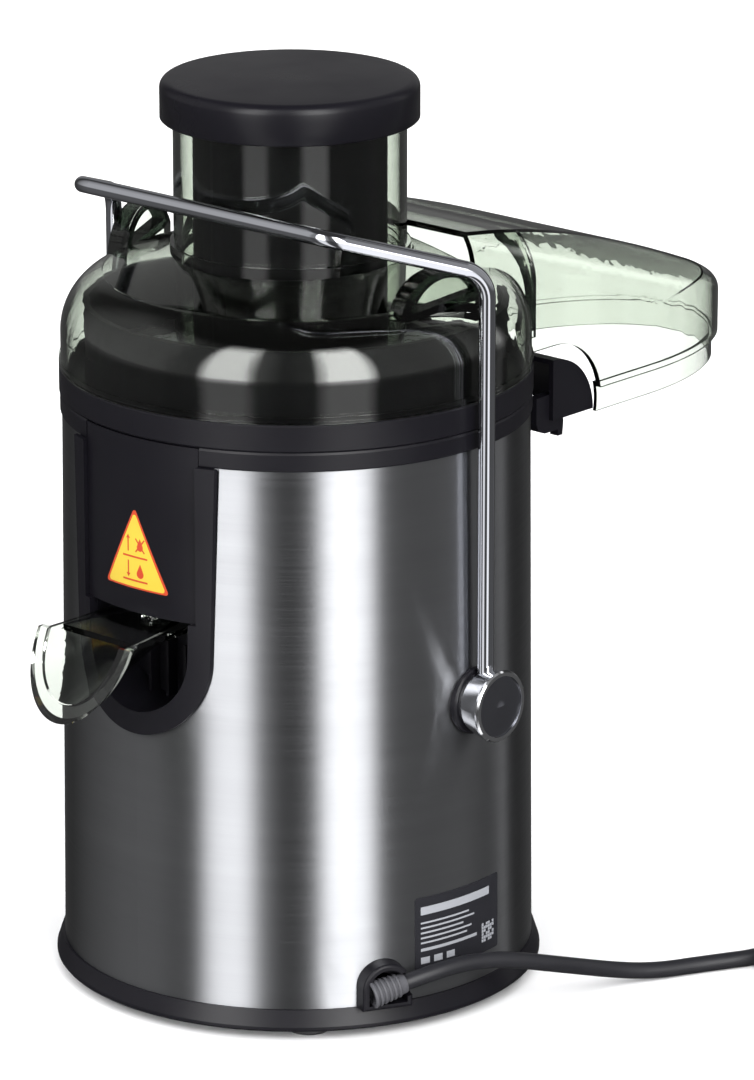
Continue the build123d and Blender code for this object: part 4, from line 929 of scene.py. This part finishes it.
class JUICER_OT_finishes(bpy.types.Operator):
    """Materials on every piece carried over from the frame"""

    bl_idname = "juicer.finishes"
    bl_label = "Finishes"

    def execute(self, context):
        for name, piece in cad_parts.items():
            piece.data.materials.clear()
            piece.data.materials.append(finishes[NODE_FINISH[name]])
        return {"FINISHED"}


# ---------------------------------------------------------------- studio


STRIP = 10.0  # brightness of the upright strip lights
CAMERA_PLACE = (1.6949, 1.5404, 0.8839)
CAMERA_AIM = (-0.02028, 0.02292, 0.16860)


class JUICER_OT_stage(bpy.types.Operator):
    """Floor, overhead light, camera and surroundings with strip lights"""

    bl_idname = "juicer.stage"
    bl_label = "Studio"

    def execute(self, context):
        scene = context.scene
        half = 12.0
        corners = [(-half, -half, 0), (half, -half, 0), (half, half, 0), (-half, half, 0)]
        mesh = mesh_from("studio_floor", corners, [(0, 1, 2, 3)])
        floor = bpy.data.objects.new("studio_floor", mesh)
        scene.collection.objects.link(floor)
        material, tree, shader = start_material(
            "Matte studio paper", Base_Color=list(scene.juicer_colours.floor), Roughness=0.9)
        feed(tree, shader, Normal=bumped(tree, noise(tree, 400.0, 2.0), 0.05, 0.1 * MM))
        # a mirrored floor is dim, so that black parts behind the clear lid stay black
        path = add_node(tree, "ShaderNodeLightPath")
        mirrored = calculated(tree, "GREATER_THAN", path.outputs["Glossy Depth"], 0.5)
        dim = add_node(tree, "ShaderNodeEmission", {"Color": grey(0.04)})
        surface = add_node(tree, "ShaderNodeMixShader", {
            0: mirrored, 1: shader.outputs[0], 2: dim.outputs[0]})
        tree.links.new(surface.outputs[0], tree.nodes["Material Output"].inputs["Surface"])
        mesh.materials.append(material)
        floor.visible_glossy = False  # the drum mirrors the tent below the horizon instead

        # overhead soft light: brightens the floor and leaves the polished parts to the strips
        lamp = bpy.data.lights.new("overhead", "SUN")
        lamp.energy = 3.3
        lamp.angle = radians(110)
        overhead = bpy.data.objects.new("overhead", lamp)
        scene.collection.objects.link(overhead)
        overhead.location = (0, 0, 3)
        overhead.visible_glossy = False
        overhead.visible_transmission = False

        camera_data = bpy.data.cameras.new("camera")
        camera_data.lens = scene.juicer_sizes.camera_lens
        camera = bpy.data.objects.new("camera", camera_data)
        scene.collection.objects.link(camera)
        camera.location = CAMERA_PLACE
        aim = Vector(CAMERA_AIM) - Vector(CAMERA_PLACE)
        camera.rotation_mode = "QUATERNION"
        camera.rotation_quaternion = aim.to_track_quat("-Z", "Y")
        camera_data.clip_end = 100
        scene.camera = camera

        # surroundings: a dark tent with grey panels and bright upright strips
        world = bpy.data.worlds.new("strip-lit tent")
        scene.world = world
        world.use_nodes = True
        tree = world.node_tree
        tree.nodes.clear()
        place = add_node(tree, "ShaderNodeTexCoord")
        parts = add_node(tree, "ShaderNodeSeparateXYZ", {0: place.outputs["Generated"]})
        round_angle = calculated(tree, "ARCTAN2", parts.outputs["Y"], parts.outputs["X"])
        share = mapped(tree, round_angle, 0.0, 1.0, from_low=-pi, from_high=pi)
        ramp = add_node(tree, "ShaderNodeValToRGB", {"Fac": share})
        # brightness by share of the round, from the hood's side through the front, the spout and the back
        stops = [
            (0.0, 0.05), (0.05, 0.25), (0.16, 0.25), (0.20, 0.05), (0.225, 0.06), (0.28, 0.35), (0.36, 0.6),
            (0.42, 0.6), (0.445, 0.35), (0.48, 0.3), (0.498, STRIP * 0.8), (0.545, STRIP * 0.8), (0.565, 0.6),
            (0.60, 0.12), (0.64, 0.25), (0.662, STRIP), (0.712, STRIP), (0.73, 0.4), (0.80, 0.4), (0.87, 0.5),
            (0.925, 0.12), (0.936, 1.5), (0.944, 1.5), (0.955, 0.05), (1.0, 0.05),
        ]
        bands = ramp.color_ramp
        while len(bands.elements) > 1:
            bands.elements.remove(bands.elements[-1])
        bands.elements[0].position, bands.elements[0].color = stops[0][0], grey(stops[0][1])
        for position, level in stops[1:]:
            stop = bands.elements.new(position)
            stop.color = grey(level)
        # the strips end low over the table, and the top of the tent is dark
        above = mapped(tree, parts.outputs["Z"], 1.0, 0.0, from_low=0.72, from_high=0.85)
        below = mapped(tree, parts.outputs["Z"], 0.16, 1.0, from_low=-0.12, from_high=0.02)
        shown = calculated(tree, "MULTIPLY", above, below)
        light = add_node(tree, "ShaderNodeMix", {
            0: shown, 6: grey(0.06), 7: ramp.outputs[0]}, data_type="RGBA")
        glow = add_node(tree, "ShaderNodeBackground", {"Color": light.outputs[2], "Strength": 0.95})
        add_node(tree, "ShaderNodeOutputWorld", {"Surface": glow.outputs[0]})
        scene.view_settings.view_transform = "Standard"
        return {"FINISHED"}


class JUICER_PT_panel(bpy.types.Panel):
    """Lists the juicer's operators"""

    bl_label = "Juicer"
    bl_idname = "JUICER_PT_panel"
    bl_space_type = "VIEW_3D"
    bl_region_type = "UI"
    bl_category = "Juicer"

    def draw(self, context):
        for operator in OPERATORS:
            self.layout.operator(operator.bl_idname)
        for group in (context.scene.juicer_colours, context.scene.juicer_sizes):
            for key in group.bl_rna.properties.keys():
                if key not in ("rna_type", "name"):
                    self.layout.prop(group, key)


OPERATORS = (
    JUICER_OT_stage, JUICER_OT_coil_tie, JUICER_OT_cord, JUICER_OT_strain_relief, JUICER_OT_finishes,
    JUICER_OT_lid_edges, JUICER_OT_pusher_cap, JUICER_OT_sticker, JUICER_OT_rating_label, JUICER_OT_grater,
    JUICER_OT_screws,
)
CLASSES = (JuicerColours, JuicerSizes, *OPERATORS, JUICER_PT_panel)


def register():
    for cls in CLASSES:
        bpy.utils.register_class(cls)
    bpy.types.Scene.juicer_colours = bpy.props.PointerProperty(type=JuicerColours)
    bpy.types.Scene.juicer_sizes = bpy.props.PointerProperty(type=JuicerSizes)


def unregister():
    del bpy.types.Scene.juicer_sizes
    del bpy.types.Scene.juicer_colours
    for cls in reversed(CLASSES):
        bpy.utils.unregister_class(cls)


def main():
    register()
    finishes.update(make_finishes(bpy.context.scene.juicer_colours))
    for operator in OPERATORS:
        group, call = operator.bl_idname.split(".")
        getattr(getattr(bpy.ops, group), call)()


if __name__ == "__main__":
    main()
